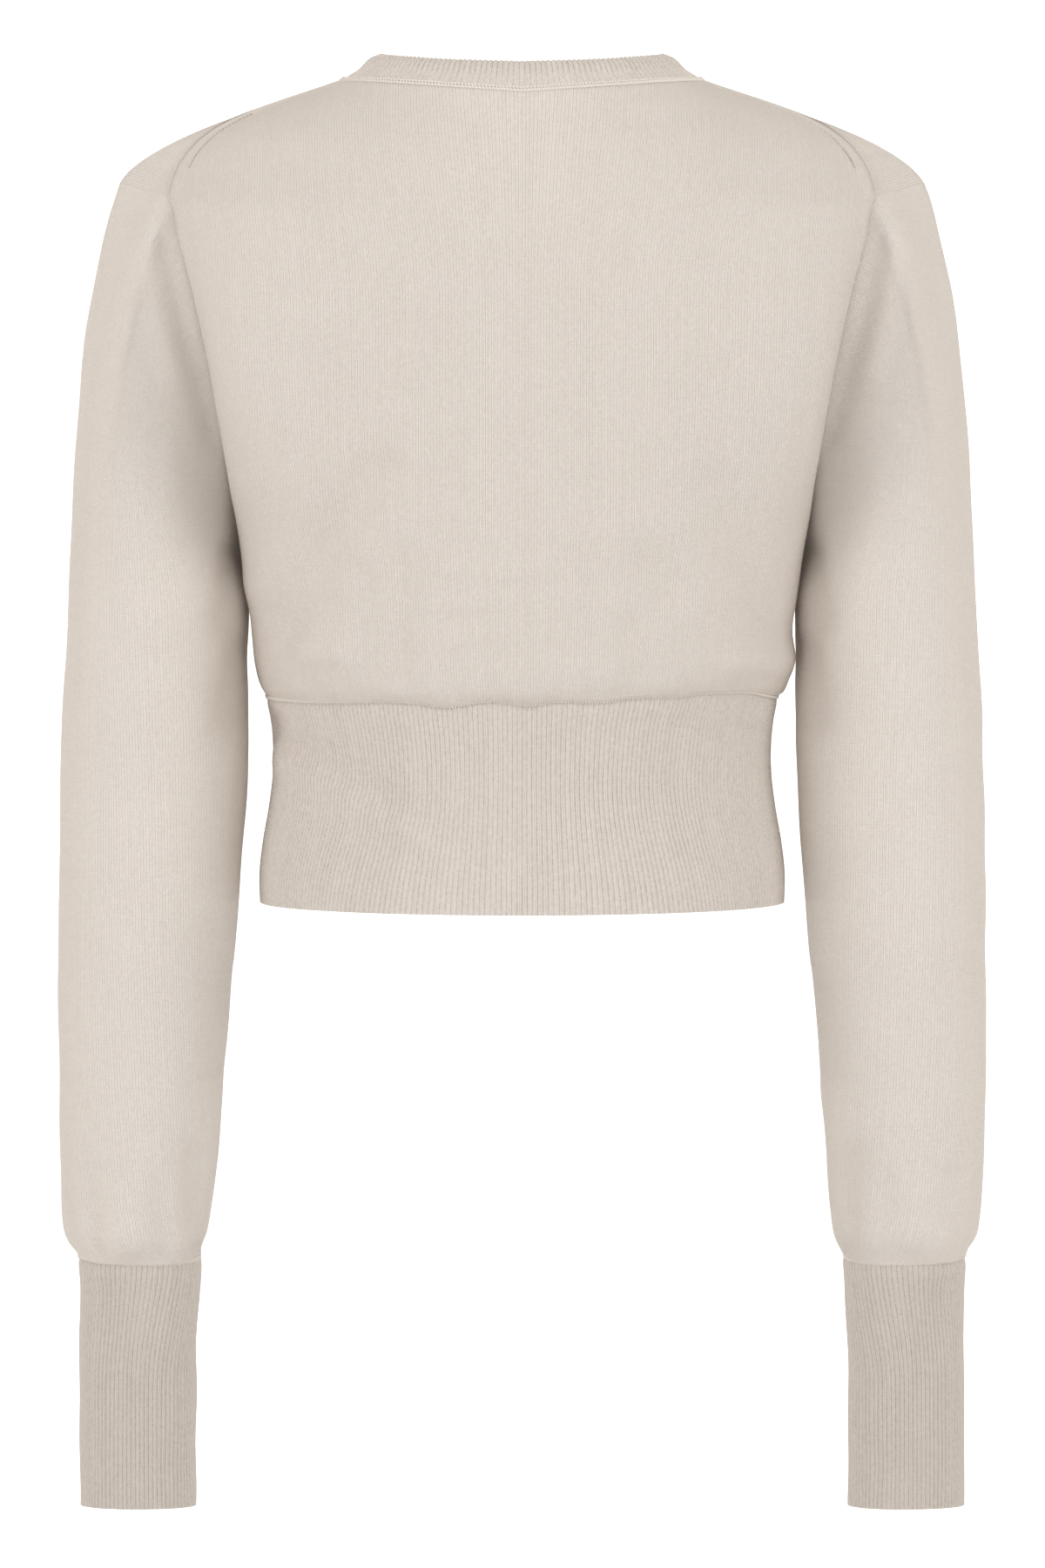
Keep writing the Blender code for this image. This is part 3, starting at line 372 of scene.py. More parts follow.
def between(keys, values, at):
    """Read a table at finer places, by a cubic that runs through every row."""
    keys = np.asarray(keys, dtype=float)
    values = np.asarray(values, dtype=float)
    at = np.atleast_1d(np.asarray(at, dtype=float))
    slopes = np.gradient(values, keys, axis=0)
    place = np.clip(np.searchsorted(keys, at, side="right") - 1, 0, len(keys) - 2)
    shape = (-1,) + (1,) * (values.ndim - 1)
    span = (keys[place + 1] - keys[place]).reshape(shape)
    part = ((at - keys[place]) / (keys[place + 1] - keys[place])).reshape(shape)
    near = (1 + 2 * part) * (1 - part) ** 2 * values[place]
    near = near + part * (1 - part) ** 2 * span * slopes[place]
    far = part**2 * (3 - 2 * part) * values[place + 1]
    far = far + part**2 * (part - 1) * span * slopes[place + 1]
    return near + far


def column(table, name):
    """One named column of a table."""
    return np.array([getattr(row, name) for row in table], dtype=float)


def travelled(points):
    """Distance along a polyline at each of its points."""
    steps = np.linalg.norm(np.diff(points, axis=0), axis=-1)
    return np.concatenate((np.zeros((1,) + steps.shape[1:]), np.cumsum(steps, axis=0)))


def across_rows(grid):
    """Distance along each row of a grid at each of its points."""
    return travelled(grid.transpose(1, 0, 2)).T


def read_line(places, run, points):
    """Points of a line (n, 3) at the given distances along it."""
    return np.stack([np.interp(places, run, points[:, axis]) for axis in range(3)], axis=1)


def soft_step(value, start, end):
    """Rise smoothly from 0 at start to 1 at end."""
    part = np.clip((np.asarray(value, dtype=float) - start) / (end - start), 0.0, 1.0)
    return part * part * (3 - 2 * part)


# %% [markdown]
# ## The seam lines
#
# The armhole is a closed line through 25 points. It is read by distance along it, so that crowded
# points under the arm don't pull the cloth. The shoulder seam is a single arc.

# %% The seam curves
SEAM_POINTS = np.stack([column(ARMHOLE, name) for name in "xyz"], axis=1)
SEAM_COUNT = len(ARMHOLE)
SHOULDER_SEAM = np.array((
    (0.0868, 0.0010, 0.0209),
    (0.1300, -0.0050, 0.0065),
    (0.1660, 0.0000, 0.0010),
    (0.1707, 0.0300, -0.0350),
))


def around(values, at):
    """Read a closed table, one row for each armhole point, at fractional places round it."""
    values = np.asarray(values, dtype=float)
    wrap = EDGE_SLOPE_WRAP
    longer = np.concatenate((values[-wrap:], values, values[:wrap + 1]))
    chords = np.concatenate((SEAM_POINTS[-wrap:], SEAM_POINTS, SEAM_POINTS[:wrap + 1]))
    keys = travelled(chords)
    at = np.asarray(at, dtype=float)
    places = np.interp(at + wrap, np.arange(len(keys)), keys)
    return between(keys, longer, places)


def shoulder_curve(steps):
    """Points of the shoulder seam, from the neck at 0 to the armhole at 1."""
    return bezier(SHOULDER_SEAM[None], steps)[0]


armhole_line = around(SEAM_POINTS, np.linspace(0, SEAM_COUNT, 400))
print("armhole length mm:", round(float(travelled(armhole_line)[-1]) * 1000))

# %% [markdown]
# ## Short calls for material nodes
#
# A knit material needs some thirty nodes. Placed by hand they would be hard to read, so a small
# class adds a node and its links in one call, and a material then reads like a sum. What
# Geometry Nodes need as well stands in a class of its own.

# %% Node calls


class Calls:
    """Short calls for building any tree of nodes."""

    def __init__(self, tree):
        self.tree, self.add, self.link = tree, tree.nodes.new, tree.links.new

    def plug(self, value, socket):
        """Link a socket's value, or set a plain number."""
        if isinstance(value, bpy.types.NodeSocket):
            self.link(value, socket)
        else:
            socket.default_value = value

    def math(self, operation, first, second=0.0, third=0.0):
        """One sum of up to three values."""
        node = self.add("ShaderNodeMath")
        node.operation = operation
        for value, socket in zip((first, second, third), node.inputs):
            self.plug(value, socket)
        return node.outputs[0]


class Nodes(Calls):
    """Short calls for building a material's nodes."""

    def __init__(self, name):
        self.material = bpy.data.materials.new(name)
        self.material.use_nodes = True
        super().__init__(self.material.node_tree)
        self.shader = self.tree.nodes["Principled BSDF"]

    def total(self, start, *parts):
        """A start value with each part's value times its weight added."""
        for value, weight in parts:
            start = self.math("MULTIPLY_ADD", value, weight, start)
        return start

    def scale(self, value, low, high, to_low, to_high):
        """Carry a value from one range to another."""
        node = self.add("ShaderNodeMapRange")
        for place, number in enumerate((value, low, high, to_low, to_high)):
            self.plug(number, node.inputs[place])
        return node.outputs[0]

    def attribute(self, label):
        """A number stored on the mesh; 0 where the mesh has none of that name."""
        node = self.add("ShaderNodeAttribute")
        node.attribute_name = label
        return node.outputs["Fac"]

    def uv(self):
        """The counts across and along from the piece's knit map."""
        node = self.add("ShaderNodeUVMap")
        node.uv_map = "knit"
        split = self.add("ShaderNodeSeparateXYZ")
        self.link(node.outputs[0], split.inputs[0])
        return split.outputs[0], split.outputs[1]

    def noise(self, vector, scale, detail=2.0, roughness=0.5):
        """Smooth noise from 0 to 1."""
        node = self.add("ShaderNodeTexNoise")
        self.plug(vector, node.inputs["Vector"])
        set_inputs(node, Scale=scale, Detail=detail, Roughness=roughness)
        return node.outputs["Fac"]

    def white(self, value):
        """A random number for each value."""
        node = self.add("ShaderNodeTexWhiteNoise")
        node.noise_dimensions = "1D"
        self.plug(value, node.inputs["W"])
        return node.outputs["Value"]

    def spotted(self, across, along):
        """A random number for each cell of a grid that is counted by two values."""
        cell = self.add("ShaderNodeCombineXYZ")
        self.plug(self.math("FLOOR", across), cell.inputs[0])
        self.plug(self.math("FLOOR", along), cell.inputs[1])
        node = self.add("ShaderNodeTexWhiteNoise")
        node.noise_dimensions = "2D"
        self.link(cell.outputs[0], node.inputs["Vector"])
        return node.outputs["Value"]

    def place(self):
        """The place on the object, in metres."""
        return self.add("ShaderNodeTexCoord").outputs["Object"]

    def ramp(self, value, low_colour, high_colour):
        """A colour between two, by a value from 0 to 1."""
        node = self.add("ShaderNodeMix")
        node.data_type = "RGBA"
        self.plug(value, node.inputs["Factor"])
        colours = [socket for socket in node.inputs if socket.type == "RGBA"]
        colours[0].default_value = (*low_colour, 1.0)
        colours[1].default_value = (*high_colour, 1.0)
        return [socket for socket in node.outputs if socket.type == "RGBA"][0]

    def bump(self, height, distance, strength=1.0, normal=None):
        """A normal tilted by a height."""
        node = self.add("ShaderNodeBump")
        set_inputs(node, Strength=strength, Distance=distance)
        self.plug(height, node.inputs["Height"])
        if normal is not None:
            self.plug(normal, node.inputs["Normal"])
        return node.outputs[0]

# %% [markdown]
# ## Plain knit as a material
#
# Fine plain knit shows columns of small V shapes, called wales, 1.5 mm apart, with a stitch row
# about every 1.1 mm. Modelling each of the tens of thousands of stitches would swamp the file, so
# they are drawn by the material. A UV map counts the wales across and the stitch rows up. From
# it the nodes make one leg of the V on each side of a wale's middle, raise it as a bump, and
# paint shade into the gaps between the yarns. Slow noises add the uneven tension of real knitting,
# and a fine one the yarn's fuzz. Beside a fashioned edge the wales run along the edge instead,
# where the piece carries the attribute "selvedge": the distance from the inner side of that margin.

# %% Knit material
WALE = 0.00147
COURSE = 0.00112
LEG_PLACE = 0.22
LEG_FALL = -3.6
LEG_ROUNDNESS = 0.8
LEG_RISE = 1.2
BEAD_LOW = 0.60
FUZZ_SCALE = 2200.0
TENSION_SCALE = 420.0
CLOUD_SCALE = 38.0
YARN_HEIGHT = 0.00040
FUZZ_HEIGHT = 0.00012
SHEEN_TINT = (0.980, 0.850, 0.730, 1.0)


def yarn_finish(nodes, tone, shade_and_deep_tone, light, normal):
    """A matt, softly hairy yarn, coloured by its tone from dark, with painted shade, to light."""
    nodes.plug(nodes.ramp(tone, shade_and_deep_tone, light), nodes.shader.inputs["Base Color"])
    nodes.plug(normal, nodes.shader.inputs["Normal"])
    set_inputs(nodes.shader, Roughness=0.88, Specular_IOR_Level=0.25, Sheen_Weight=1.0,
               Sheen_Roughness=0.45, Sheen_Tint=SHEEN_TINT)
    return nodes.material


def v_stitch(nodes, across, along, from_middle):
    """The swell along each leg of the V stitches, and one random number for each leg."""
    phase = nodes.math("MULTIPLY_ADD", from_middle, LEG_RISE, along)
    bead = nodes.math("SINE", nodes.math("MULTIPLY", nodes.math("FRACT", phase), math.pi))
    return bead, nodes.spotted(nodes.math("MULTIPLY", across, 2.0), phase)


def plain_stitches(nodes, across, along):
    """Height of the V stitches, and one random number for each leg of each V."""
    wale = nodes.math("FRACT", across)
    from_middle = nodes.math("ABSOLUTE", nodes.math("SUBTRACT", wale, 0.5))
    leg = nodes.math("ABSOLUTE", nodes.math("SUBTRACT", from_middle, LEG_PLACE))
    leg = nodes.math("MULTIPLY_ADD", leg, LEG_FALL, 1.0)
    leg = nodes.math("POWER", nodes.math("MAXIMUM", leg, 0.0), LEG_ROUNDNESS)
    bead, chance = v_stitch(nodes, across, along, from_middle)
    bead = nodes.math("MULTIPLY_ADD", bead, 1.0 - BEAD_LOW, BEAD_LOW)
    return nodes.math("MULTIPLY", leg, bead), chance


def knit_material(name, shade_and_deep_tone, light):
    """Plain knit, from painted shade in the gaps to the colour on the yarns."""
    nodes = Nodes(name)
    across, along = nodes.uv()
    inset = nodes.attribute("selvedge")
    beside = nodes.math("SUBTRACT", nodes.math("MULTIPLY", inset, 1.0 / WALE), across)
    across = nodes.math("MULTIPLY_ADD", nodes.math("GREATER_THAN", inset, 0.0), beside, across)
    height, chance = plain_stitches(nodes, across, along)
    streak = nodes.white(nodes.math("FLOOR", across))
    slow = nodes.noise(nodes.place(), CLOUD_SCALE, 3.0)
    tension = nodes.noise(nodes.place(), TENSION_SCALE, 2.0, 0.6)
    fuzz = nodes.noise(nodes.place(), FUZZ_SCALE, 3.0, 0.7)
    # Where the stitch height is low, in the gaps, the colour goes dark: painted shade between the
    # yarns.
    tone = nodes.total(-0.03, (height, 0.78), (chance, 0.15), (slow, 0.10), (tension, 0.08),
                       (streak, 0.04), (fuzz, 0.16))
    yarn = nodes.bump(height, YARN_HEIGHT, 0.8)
    return yarn_finish(nodes, tone, shade_and_deep_tone, light, nodes.bump(fuzz, FUZZ_HEIGHT, 0.6, yarn))


BODY_KNIT = knit_material("body_knit_yarn", (0.510, 0.440, 0.380), (0.915, 0.846, 0.778))
# The sleeves' yarn is the body's yarn made lighter: painted light on the sleeves.
SLEEVE_KNIT_PAINTED_LIGHT = knit_material("sleeve_knit_yarn", (0.540, 0.468, 0.406), (0.948, 0.881, 0.813))
print("plain knit: wale mm", round(WALE * 1000, 2), "stitch row mm", round(COURSE * 1000, 2))

# %% [markdown]
# ## Rib as a material
#
# In one-by-one rib each raised wale stands next to a sunk one. The relief of the ribs is real
# geometry further down, so the material adds only the V stitches along each crest and painted
# shade in the groove, as a darker colour. Its UV map counts ribs across and stitch rows up.

# %% Rib material
RIB_LEG_PLACE = 0.20
RIB_CLOUD_SCALE = 42.0
RIB_YARN_HEIGHT = 0.00045


def rib_material(name, shade_and_deep_tone, light):
    """One-by-one rib: a raised wale and a sunk one, with painted shade in the gap between the two.
    """
    nodes = Nodes(name)
    across, along = nodes.uv()
    rib = nodes.math("FRACT", across)
    from_crest = nodes.math("ABSOLUTE", nodes.math("SUBTRACT", rib, 0.5))
    crest = nodes.scale(from_crest, 0.24, 0.42, 1.0, 0.0)
    gap = nodes.scale(from_crest, 0.39, 0.49, 0.0, 1.0)
    from_leg = nodes.math("ABSOLUTE", nodes.math("SUBTRACT", from_crest, RIB_LEG_PLACE))
    leg = nodes.scale(from_leg, 0.05, 0.17, 1.0, 0.0)
    bead, chance = v_stitch(nodes, across, along, from_crest)
    height = nodes.math("MULTIPLY", nodes.math("MULTIPLY", bead, leg), crest)
    slow = nodes.noise(nodes.place(), RIB_CLOUD_SCALE, 3.0)
    fuzz = nodes.noise(nodes.place(), FUZZ_SCALE, 3.0, 0.7)
    streak = nodes.white(nodes.math("FLOOR", across))
    # The gap between the ribs gets a darker colour: painted shade in the groove.
    groove_shade = nodes.math("MULTIPLY", gap, nodes.math("MULTIPLY_ADD", chance, -0.25, 1.12))
    tone = nodes.total(0.36, (leg, 0.10), (groove_shade, -0.56), (height, 0.56), (chance, 0.17),
                       (slow, 0.10), (streak, 0.08), (fuzz, 0.20))
    yarn = nodes.bump(height, RIB_YARN_HEIGHT, 1.0)
    return yarn_finish(nodes, tone, shade_and_deep_tone, light, nodes.bump(fuzz, FUZZ_HEIGHT, 0.6, yarn))


RIB_KNIT = rib_material("rib_knit_yarn", (0.430, 0.365, 0.307), (0.950, 0.873, 0.802))
# The cuffs' yarn is the hem rib's yarn made darker: painted shade on the cuffs.
CUFF_KNIT_PAINTED_SHADE = rib_material("cuff_knit_yarn", (0.370, 0.308, 0.256), (0.850, 0.773, 0.700))
NECK_KNIT = rib_material("neckband_yarn", (0.430, 0.367, 0.308), (0.950, 0.876, 0.803))
print("rib materials:", RIB_KNIT.name, CUFF_KNIT_PAINTED_SHADE.name, NECK_KNIT.name)

# %% [markdown]
# ## Folds
#
# The knit is light and lies in soft, shallow folds, deeper on one side than on the other. Each
# fold is a line across the piece, with a width and a height. The cloth within that width is
# raised along its own normal, or lowered where the height is below zero. The lines follow the
# photograph on the back, and similar ones are laid on the sides that it hides.

# %% Fold tables
Fold = namedtuple("Fold", "line width raise_by")
FOLDS = {
    "back": (
        Fold(((0.067, -0.163), (0.092, -0.198), (0.114, -0.238)), 0.0100, -0.0042),
        Fold(((0.088, -0.156), (0.112, -0.190), (0.127, -0.222)), 0.0095, 0.0023),
        Fold(((0.103, -0.251), (0.090, -0.252)), 0.0080, 0.0038),
        Fold(((0.0565, -0.205), (0.0560, -0.236), (0.0600, -0.264)), 0.0060, -0.0021),
        Fold(((0.0760, -0.214), (0.0720, -0.262)), 0.0055, -0.0013),
        Fold(((0.0410, -0.211), (0.0080, -0.214), (-0.0080, -0.211)), 0.0036, 0.0009),
        Fold(((0.0440, -0.229), (0.0100, -0.227)), 0.0036, 0.0009),
        Fold(((0.0360, -0.245), (-0.0080, -0.243)), 0.0040, 0.0009),
        Fold(((-0.0640, -0.206), (-0.0700, -0.220)), 0.0095, -0.0029),
        Fold(((-0.0520, -0.242), (-0.0600, -0.262)), 0.0090, -0.0029),
        Fold(((-0.1040, -0.260), (-0.1250, -0.257)), 0.0085, 0.0036),
        Fold(((-0.0980, -0.170), (-0.1120, -0.212), (-0.1200, -0.240)), 0.0110, -0.0023),
    ),
    "front": (
        Fold(((0.060, -0.170), (0.084, -0.204), (0.104, -0.236)), 0.0110, -0.0042),
        Fold(((0.078, -0.162), (0.112, -0.206)), 0.0100, 0.0019),
        Fold(((-0.052, -0.176), (-0.078, -0.206), (-0.100, -0.232)), 0.0110, -0.0036),
        Fold(((-0.070, -0.166), (-0.106, -0.200)), 0.0100, 0.0017),
        Fold(((0.085, -0.262), (0.108, -0.256)), 0.0090, 0.0038),
        Fold(((-0.070, -0.262), (-0.088, -0.258)), 0.0090, 0.0034),
        Fold(((0.046, -0.214), (0.044, -0.262)), 0.0060, -0.0017),
        Fold(((-0.042, -0.206), (-0.046, -0.258)), 0.0060, -0.0015),
    ),
    "hem_back": (
        Fold(((0.1195, -0.290), (0.0930, -0.304), (0.0628, -0.324)), 0.0075, -0.0025),
        Fold(((0.1132, -0.307), (0.0800, -0.324), (0.0502, -0.341)), 0.0070, 0.0023),
        Fold(((-0.0200, -0.291), (-0.1100, -0.289)), 0.0060, -0.0011),
        Fold(((-0.0716, -0.296), (-0.0716, -0.310)), 0.0070, -0.0011),
    ),
    "hem_front": (
        Fold(((0.1100, -0.286), (0.0600, -0.318)), 0.0080, -0.0015),
        Fold(((-0.1000, -0.284), (-0.0560, -0.312)), 0.0080, -0.0015),
    ),
    "sleeve_back": (
        Fold(((0.1741, -0.055), (0.1657, -0.090), (0.1560, -0.120), (0.1480, -0.150)),
             0.0062, -0.0030),
        Fold(((0.1820, -0.052), (0.1790, -0.085), (0.1690, -0.120)), 0.0070, 0.0021),
        Fold(((0.1390, -0.206), (0.1430, -0.238)), 0.0075, -0.0036),
        Fold(((0.1370, -0.252), (0.1420, -0.286)), 0.0080, -0.0036),
        Fold(((0.1420, -0.416), (0.1460, -0.456)), 0.0080, -0.0027),
        Fold(((0.1580, -0.500), (0.1560, -0.545)), 0.0065, -0.0033),
        Fold(((0.1760, -0.512), (0.1740, -0.545)), 0.0055, -0.0019),
        Fold(((0.1888, -0.520), (0.1890, -0.538)), 0.0080, 0.0019),
        Fold(((0.2080, -0.508), (0.2060, -0.545)), 0.0060, -0.0015),
    ),
    "sleeve_front": (
        Fold(((0.1760, -0.060), (0.1600, -0.110), (0.1490, -0.150)), 0.0070, -0.0029),
        Fold(((0.1400, -0.214), (0.1560, -0.240)), 0.0085, -0.0033),
        Fold(((0.1390, -0.262), (0.1600, -0.296)), 0.0090, -0.0030),
        Fold(((0.1620, -0.504), (0.1600, -0.545)), 0.0065, -0.0029),
        Fold(((0.1900, -0.510), (0.1880, -0.545)), 0.0065, -0.0018),
    ),
    "cuff_back": (
        Fold(((0.203, -0.566), (0.186, -0.620), (0.178, -0.650)), 0.0110, -0.0018),
    ),
}
print("folds:", sum(map(len, FOLDS.values())))

# %% [markdown]
# ## How folds and unevenness raise the cloth
#
# A fold's height falls away on both sides of its line as a bell curve, which has no edge. Between
# the folds real cloth is still never quite even, so a few long sine waves in random directions,
# from a fixed seed, are added.

# %% Fold heights
WAVE_SPREAD = (0.7, 2.2)
WAVE_CALM = 2.5


def line_distance(places, line):
    """Distance of points (n, 2) from a bent line."""
    best = np.full(len(places), np.inf)
    for start, end in zip(line[:-1], line[1:]):
        start = np.array(start)
        run = np.array(end) - start
        along = np.clip((places - start) @ run / max(float(run @ run), TINY), 0.0, 1.0)
        gap = np.linalg.norm(places - start - along[:, None] * run, axis=1)
        best = np.minimum(best, gap)
    return best


def fold_heights(piece, grid):
    """How far the folds raise each point, by its place across and up."""
    places = grid[..., (0, 2)].reshape(-1, 2)
    height = np.zeros(len(places))
    for fold in FOLDS.get(piece, ()):
        height += fold.raise_by * np.exp(-(line_distance(places, fold.line) / fold.width) ** 2)
    return height.reshape(grid.shape[:2])


def soft_waves(points, size, seed, count=14):
    """Smooth unevenness from -1 to 1, in waves of about the given size."""
    dice = np.random.default_rng(seed)
    ways = unit(dice.normal(size=(count, 3)))
    lengths = size * dice.uniform(*WAVE_SPREAD, count)
    phases = dice.uniform(0.0, 2 * math.pi, count)
    waves = np.sin((points @ ways.T) * (2 * math.pi / lengths) + phases)
    return waves.sum(axis=-1) / math.sqrt(count * WAVE_CALM)


# %% [markdown]
# ## From a grid of points to a thin shell of cloth
#
# Every cloth piece is a grid of points: rows up the piece and columns across it. The faces are
# made from the grid with their outer side out, and the UV map comes from the counted wales and
# stitch rows. A Solidify modifier then gives the cloth its thickness towards the inside, which is
# simpler and more even than making the lining by hand.

# %% Grids into pieces


def grid_normals(grid, closed=False, inside=None):
    """Normals of a grid at its points, away from the inside point or axis points given by row."""
    if closed:
        across = np.roll(grid, -1, axis=1) - np.roll(grid, 1, axis=1)
    else:
        across = np.gradient(grid, axis=1)
    normals = unit(np.cross(np.gradient(grid, axis=0), across))
    middle = grid.shape[0] // 2
    away = grid[middle] - np.asarray(inside, dtype=float)
    sign = np.sign(np.sum(normals[middle] * away))
    return normals * sign


def bake(thing):
    """Replace a piece's mesh by its mesh with all modifiers applied."""
    view = bpy.context.evaluated_depsgraph_get()
    result = bpy.data.meshes.new_from_object(thing.evaluated_get(view), depsgraph=view)
    thing.modifiers.clear()
    old = thing.data
    thing.data = result
    bpy.data.meshes.remove(old)
    result.name = thing.name
    return thing


def grid_object(name, grid, normals, knit, material, closed=False):
    """Make the outer face of a piece from its grid; knit holds its UV map (rows, columns, 2)."""
    rows, columns = grid.shape[:2]
    spans = columns if closed else columns - 1
    row, near = np.meshgrid(np.arange(rows - 1), np.arange(spans), indexing="ij")
    corners = [(row, near), (row, near + 1), (row + 1, near + 1), (row + 1, near)]
    first = np.cross(grid[0, 1] - grid[0, 0], grid[1, 0] - grid[0, 0])
    if np.dot(first, normals[0, 0]) < 0:
        corners.reverse()
    faces = np.stack([up * columns + side % columns for up, side in corners], axis=-1)
    mesh = new_mesh(name, grid.reshape(-1, 3).tolist(), faces.reshape(-1, 4).tolist())
    layer = mesh.uv_layers.new(name="knit")
    counted = np.stack([knit[up, side] for up, side in corners], axis=-2)
    layer.data.foreach_set("uv", counted.reshape(-1).astype(np.float32))
    mesh.materials.append(material)
    mesh.shade_smooth()
    return add_object(name, mesh)


# %% [markdown]
# ## Thickness
#
# Solidify moves a copy of the face inwards and closes the rim between the two. The rim is a sharp
# edge: smooth shading across it would draw a dark outline round every piece, so all edges that
# turn by more than 75 degrees are marked sharp.

# %% Thickness and marks
CLOTH = 0.0016
RIM_ANGLE = math.radians(75)


def mark_points(thing, label, values):
    """Store a number for each point of a piece under a name that its material or tree reads."""
    layer = thing.data.attributes.new(label, "FLOAT", "POINT")
    layer.data.foreach_set("value", np.ascontiguousarray(values, dtype=np.float32).reshape(-1))


def thicken(thing, thickness=CLOTH):
    """Give a piece its thickness towards the inside."""
    shell = thing.modifiers.new("thickness", "SOLIDIFY")
    shell.thickness = thickness
    shell.offset = -1.0
    shell.use_even_offset = False
    bake(thing)
    thing.data.set_sharp_from_angle(angle=RIM_ANGLE)
    return thing


def face_area(grid, closed=False):
    """Area of a grid's outer face in square metres."""
    if closed:
        grid = np.concatenate((grid, grid[:, :1]), axis=1)
    one = np.cross(grid[1:, :-1] - grid[:-1, :-1], grid[:-1, 1:] - grid[:-1, :-1])
    two = np.cross(grid[:-1, 1:] - grid[1:, 1:], grid[1:, :-1] - grid[1:, 1:])
    return float((np.linalg.norm(one, axis=-1) + np.linalg.norm(two, axis=-1)).sum() / 2)


def triangles(thing):
    """How many triangles a piece's faces make."""
    return sum(len(face.vertices) - 2 for face in thing.data.polygons)


# %% [markdown]
# ## How each piece is kept
#
# Every piece rides on the one body and stands for the solid of the same name, which is hidden.


def keep(thing, nodes):
    """Tie a piece to the body and hide the solids that it stands for."""
    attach(thing, "root")
    if nodes:
        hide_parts(*nodes)
    print(thing.name, "triangles:", triangles(thing))
    return thing

# %% [markdown]
# ## The back
#
# The back is one knitted panel, shaped on the machine: narrowed at the armholes and along the
# sloping shoulders. It is made as rows from the hem join to the neck seam. Each row is one arc
# from the midline to the edge, mirrored for the other half. Points close to the sewn edges are
# drawn in by a quarter of a millimetre, as the linking thread pulls them. Beside the underarm the
# rows crowd together, so the grid is smoothed there, up and down.

# %% Fine rows for both panels
EDGE_STEPS = (0.971, 0.980, 0.987, 0.993, 0.997, 1.0)
EVEN_STEPS = 64
EVEN_END = 0.96
PANEL_STEPS = np.concatenate((np.linspace(0.0, EVEN_END, EVEN_STEPS), EDGE_STEPS))
JOIN_ROWS = 7
SEAM_DRAW = 0.00025
SEAM_DRAW_WIDTH = 0.0021
SETTLE_ROUNDS = 90
SETTLE_FULL = 12
SETTLE_NONE = 26
SETTLE_EDGE = 8
ARMHOLE_HUB = np.array((0.158, 0.0, -0.112))
BODY_INSIDE = np.array((0.0, 0.0, -0.1))
BODY_RINGS = tuple(ring for ring in RINGS if ring.height >= JOIN_HEIGHT)
RING_LAST = len(BODY_RINGS) - 1


def fine_places(keys, size=FINE, first=JOIN_ROWS):
    """Places between the table's rows, each span cut to about the given size."""
    places = []
    for number, (start, end) in enumerate(zip(keys[:-1], keys[1:])):
        cuts = max(1, int(round((end - start) / size)))
        if number == 0:
            cuts = max(cuts, first)
        places.extend(start + (end - start) * np.arange(cuts) / cuts)
    places.append(keys[-1])
    return np.array(places)


def read_panel(table, middle, edges):
    """A panel's table at finer rows, whose spacing is the mean of its midline's and its edge's."""
    steps = [np.linalg.norm(np.diff(line, axis=0), axis=1) for line in (middle, edges)]
    keys = np.concatenate(([0.0], np.cumsum(sum(steps) / 2)))
    at = fine_places(keys)
    return keys, at, np.interp(at, keys, np.arange(len(keys))), between(keys, table, at)


def ring_edges():
    """The side edge's points below the underarm."""
    return np.array([(ring.half_width, 0.0, ring.height) for ring in BODY_RINGS])


def edge_line(rows, keys, at, seam_place):
    """The side edge: free below the underarm, then on the armhole seam by its place on it."""
    edge = np.empty((len(at), 3))
    low = rows <= RING_LAST
    edge[low] = between(keys[:RING_LAST + 1], ring_edges(), at[low])
    edge[~low] = around(SEAM_POINTS, seam_place[~low])
    return edge


def underarm_row(rows):
    """The number of the fine row that is nearest the underarm."""
    return int(np.argmin(np.abs(rows - RING_LAST)))


def settle(grid, rows):
    """Smooth a panel up and down beside the underarm, where its rows crowd towards the seam."""
    distance = np.abs(np.arange(len(grid)) - underarm_row(rows) - SETTLE_FULL // 2)
    strength = 0.5 * (1.0 - soft_step(distance, SETTLE_FULL, SETTLE_NONE))[:, None, None]
    from_edge = np.arange(grid.shape[1])[::-1]
    strength = strength * soft_step(from_edge, 0, SETTLE_EDGE)[None, :, None]
    grid = grid.copy()
    for _ in range(SETTLE_ROUNDS):
        middle = (grid[2:] + grid[:-2]) / 2
        grid[1:-1] += strength[1:-1] * (middle - grid[1:-1])
    return grid


def sewn(half, rows):
    """Settle half a panel and pull it in beside its sewn edge; its normals come back with it."""
    half = settle(half, rows)
    normals = grid_normals(half, inside=BODY_INSIDE)
    gap = across_rows(half)
    gap = gap[:, -1:] - gap
    depth = SEAM_DRAW * np.exp(-(gap / SEAM_DRAW_WIDTH) ** 2)
    ways = -normals
    ways[:, -1] = unit(ARMHOLE_HUB - half[:, -1])
    ways[rows <= RING_LAST, -1] = (-1.0, 0.0, 0.0)
    return half + ways * depth[..., None], normals


# %% The back's surface
BACK_TABLE = BACK_ARM_ROWS + BACK_SHOULDER_ROWS
ARM_COUNT = len(BACK_ARM_ROWS)
SHOULDER_COUNT = len(BACK_SHOULDER_ROWS)


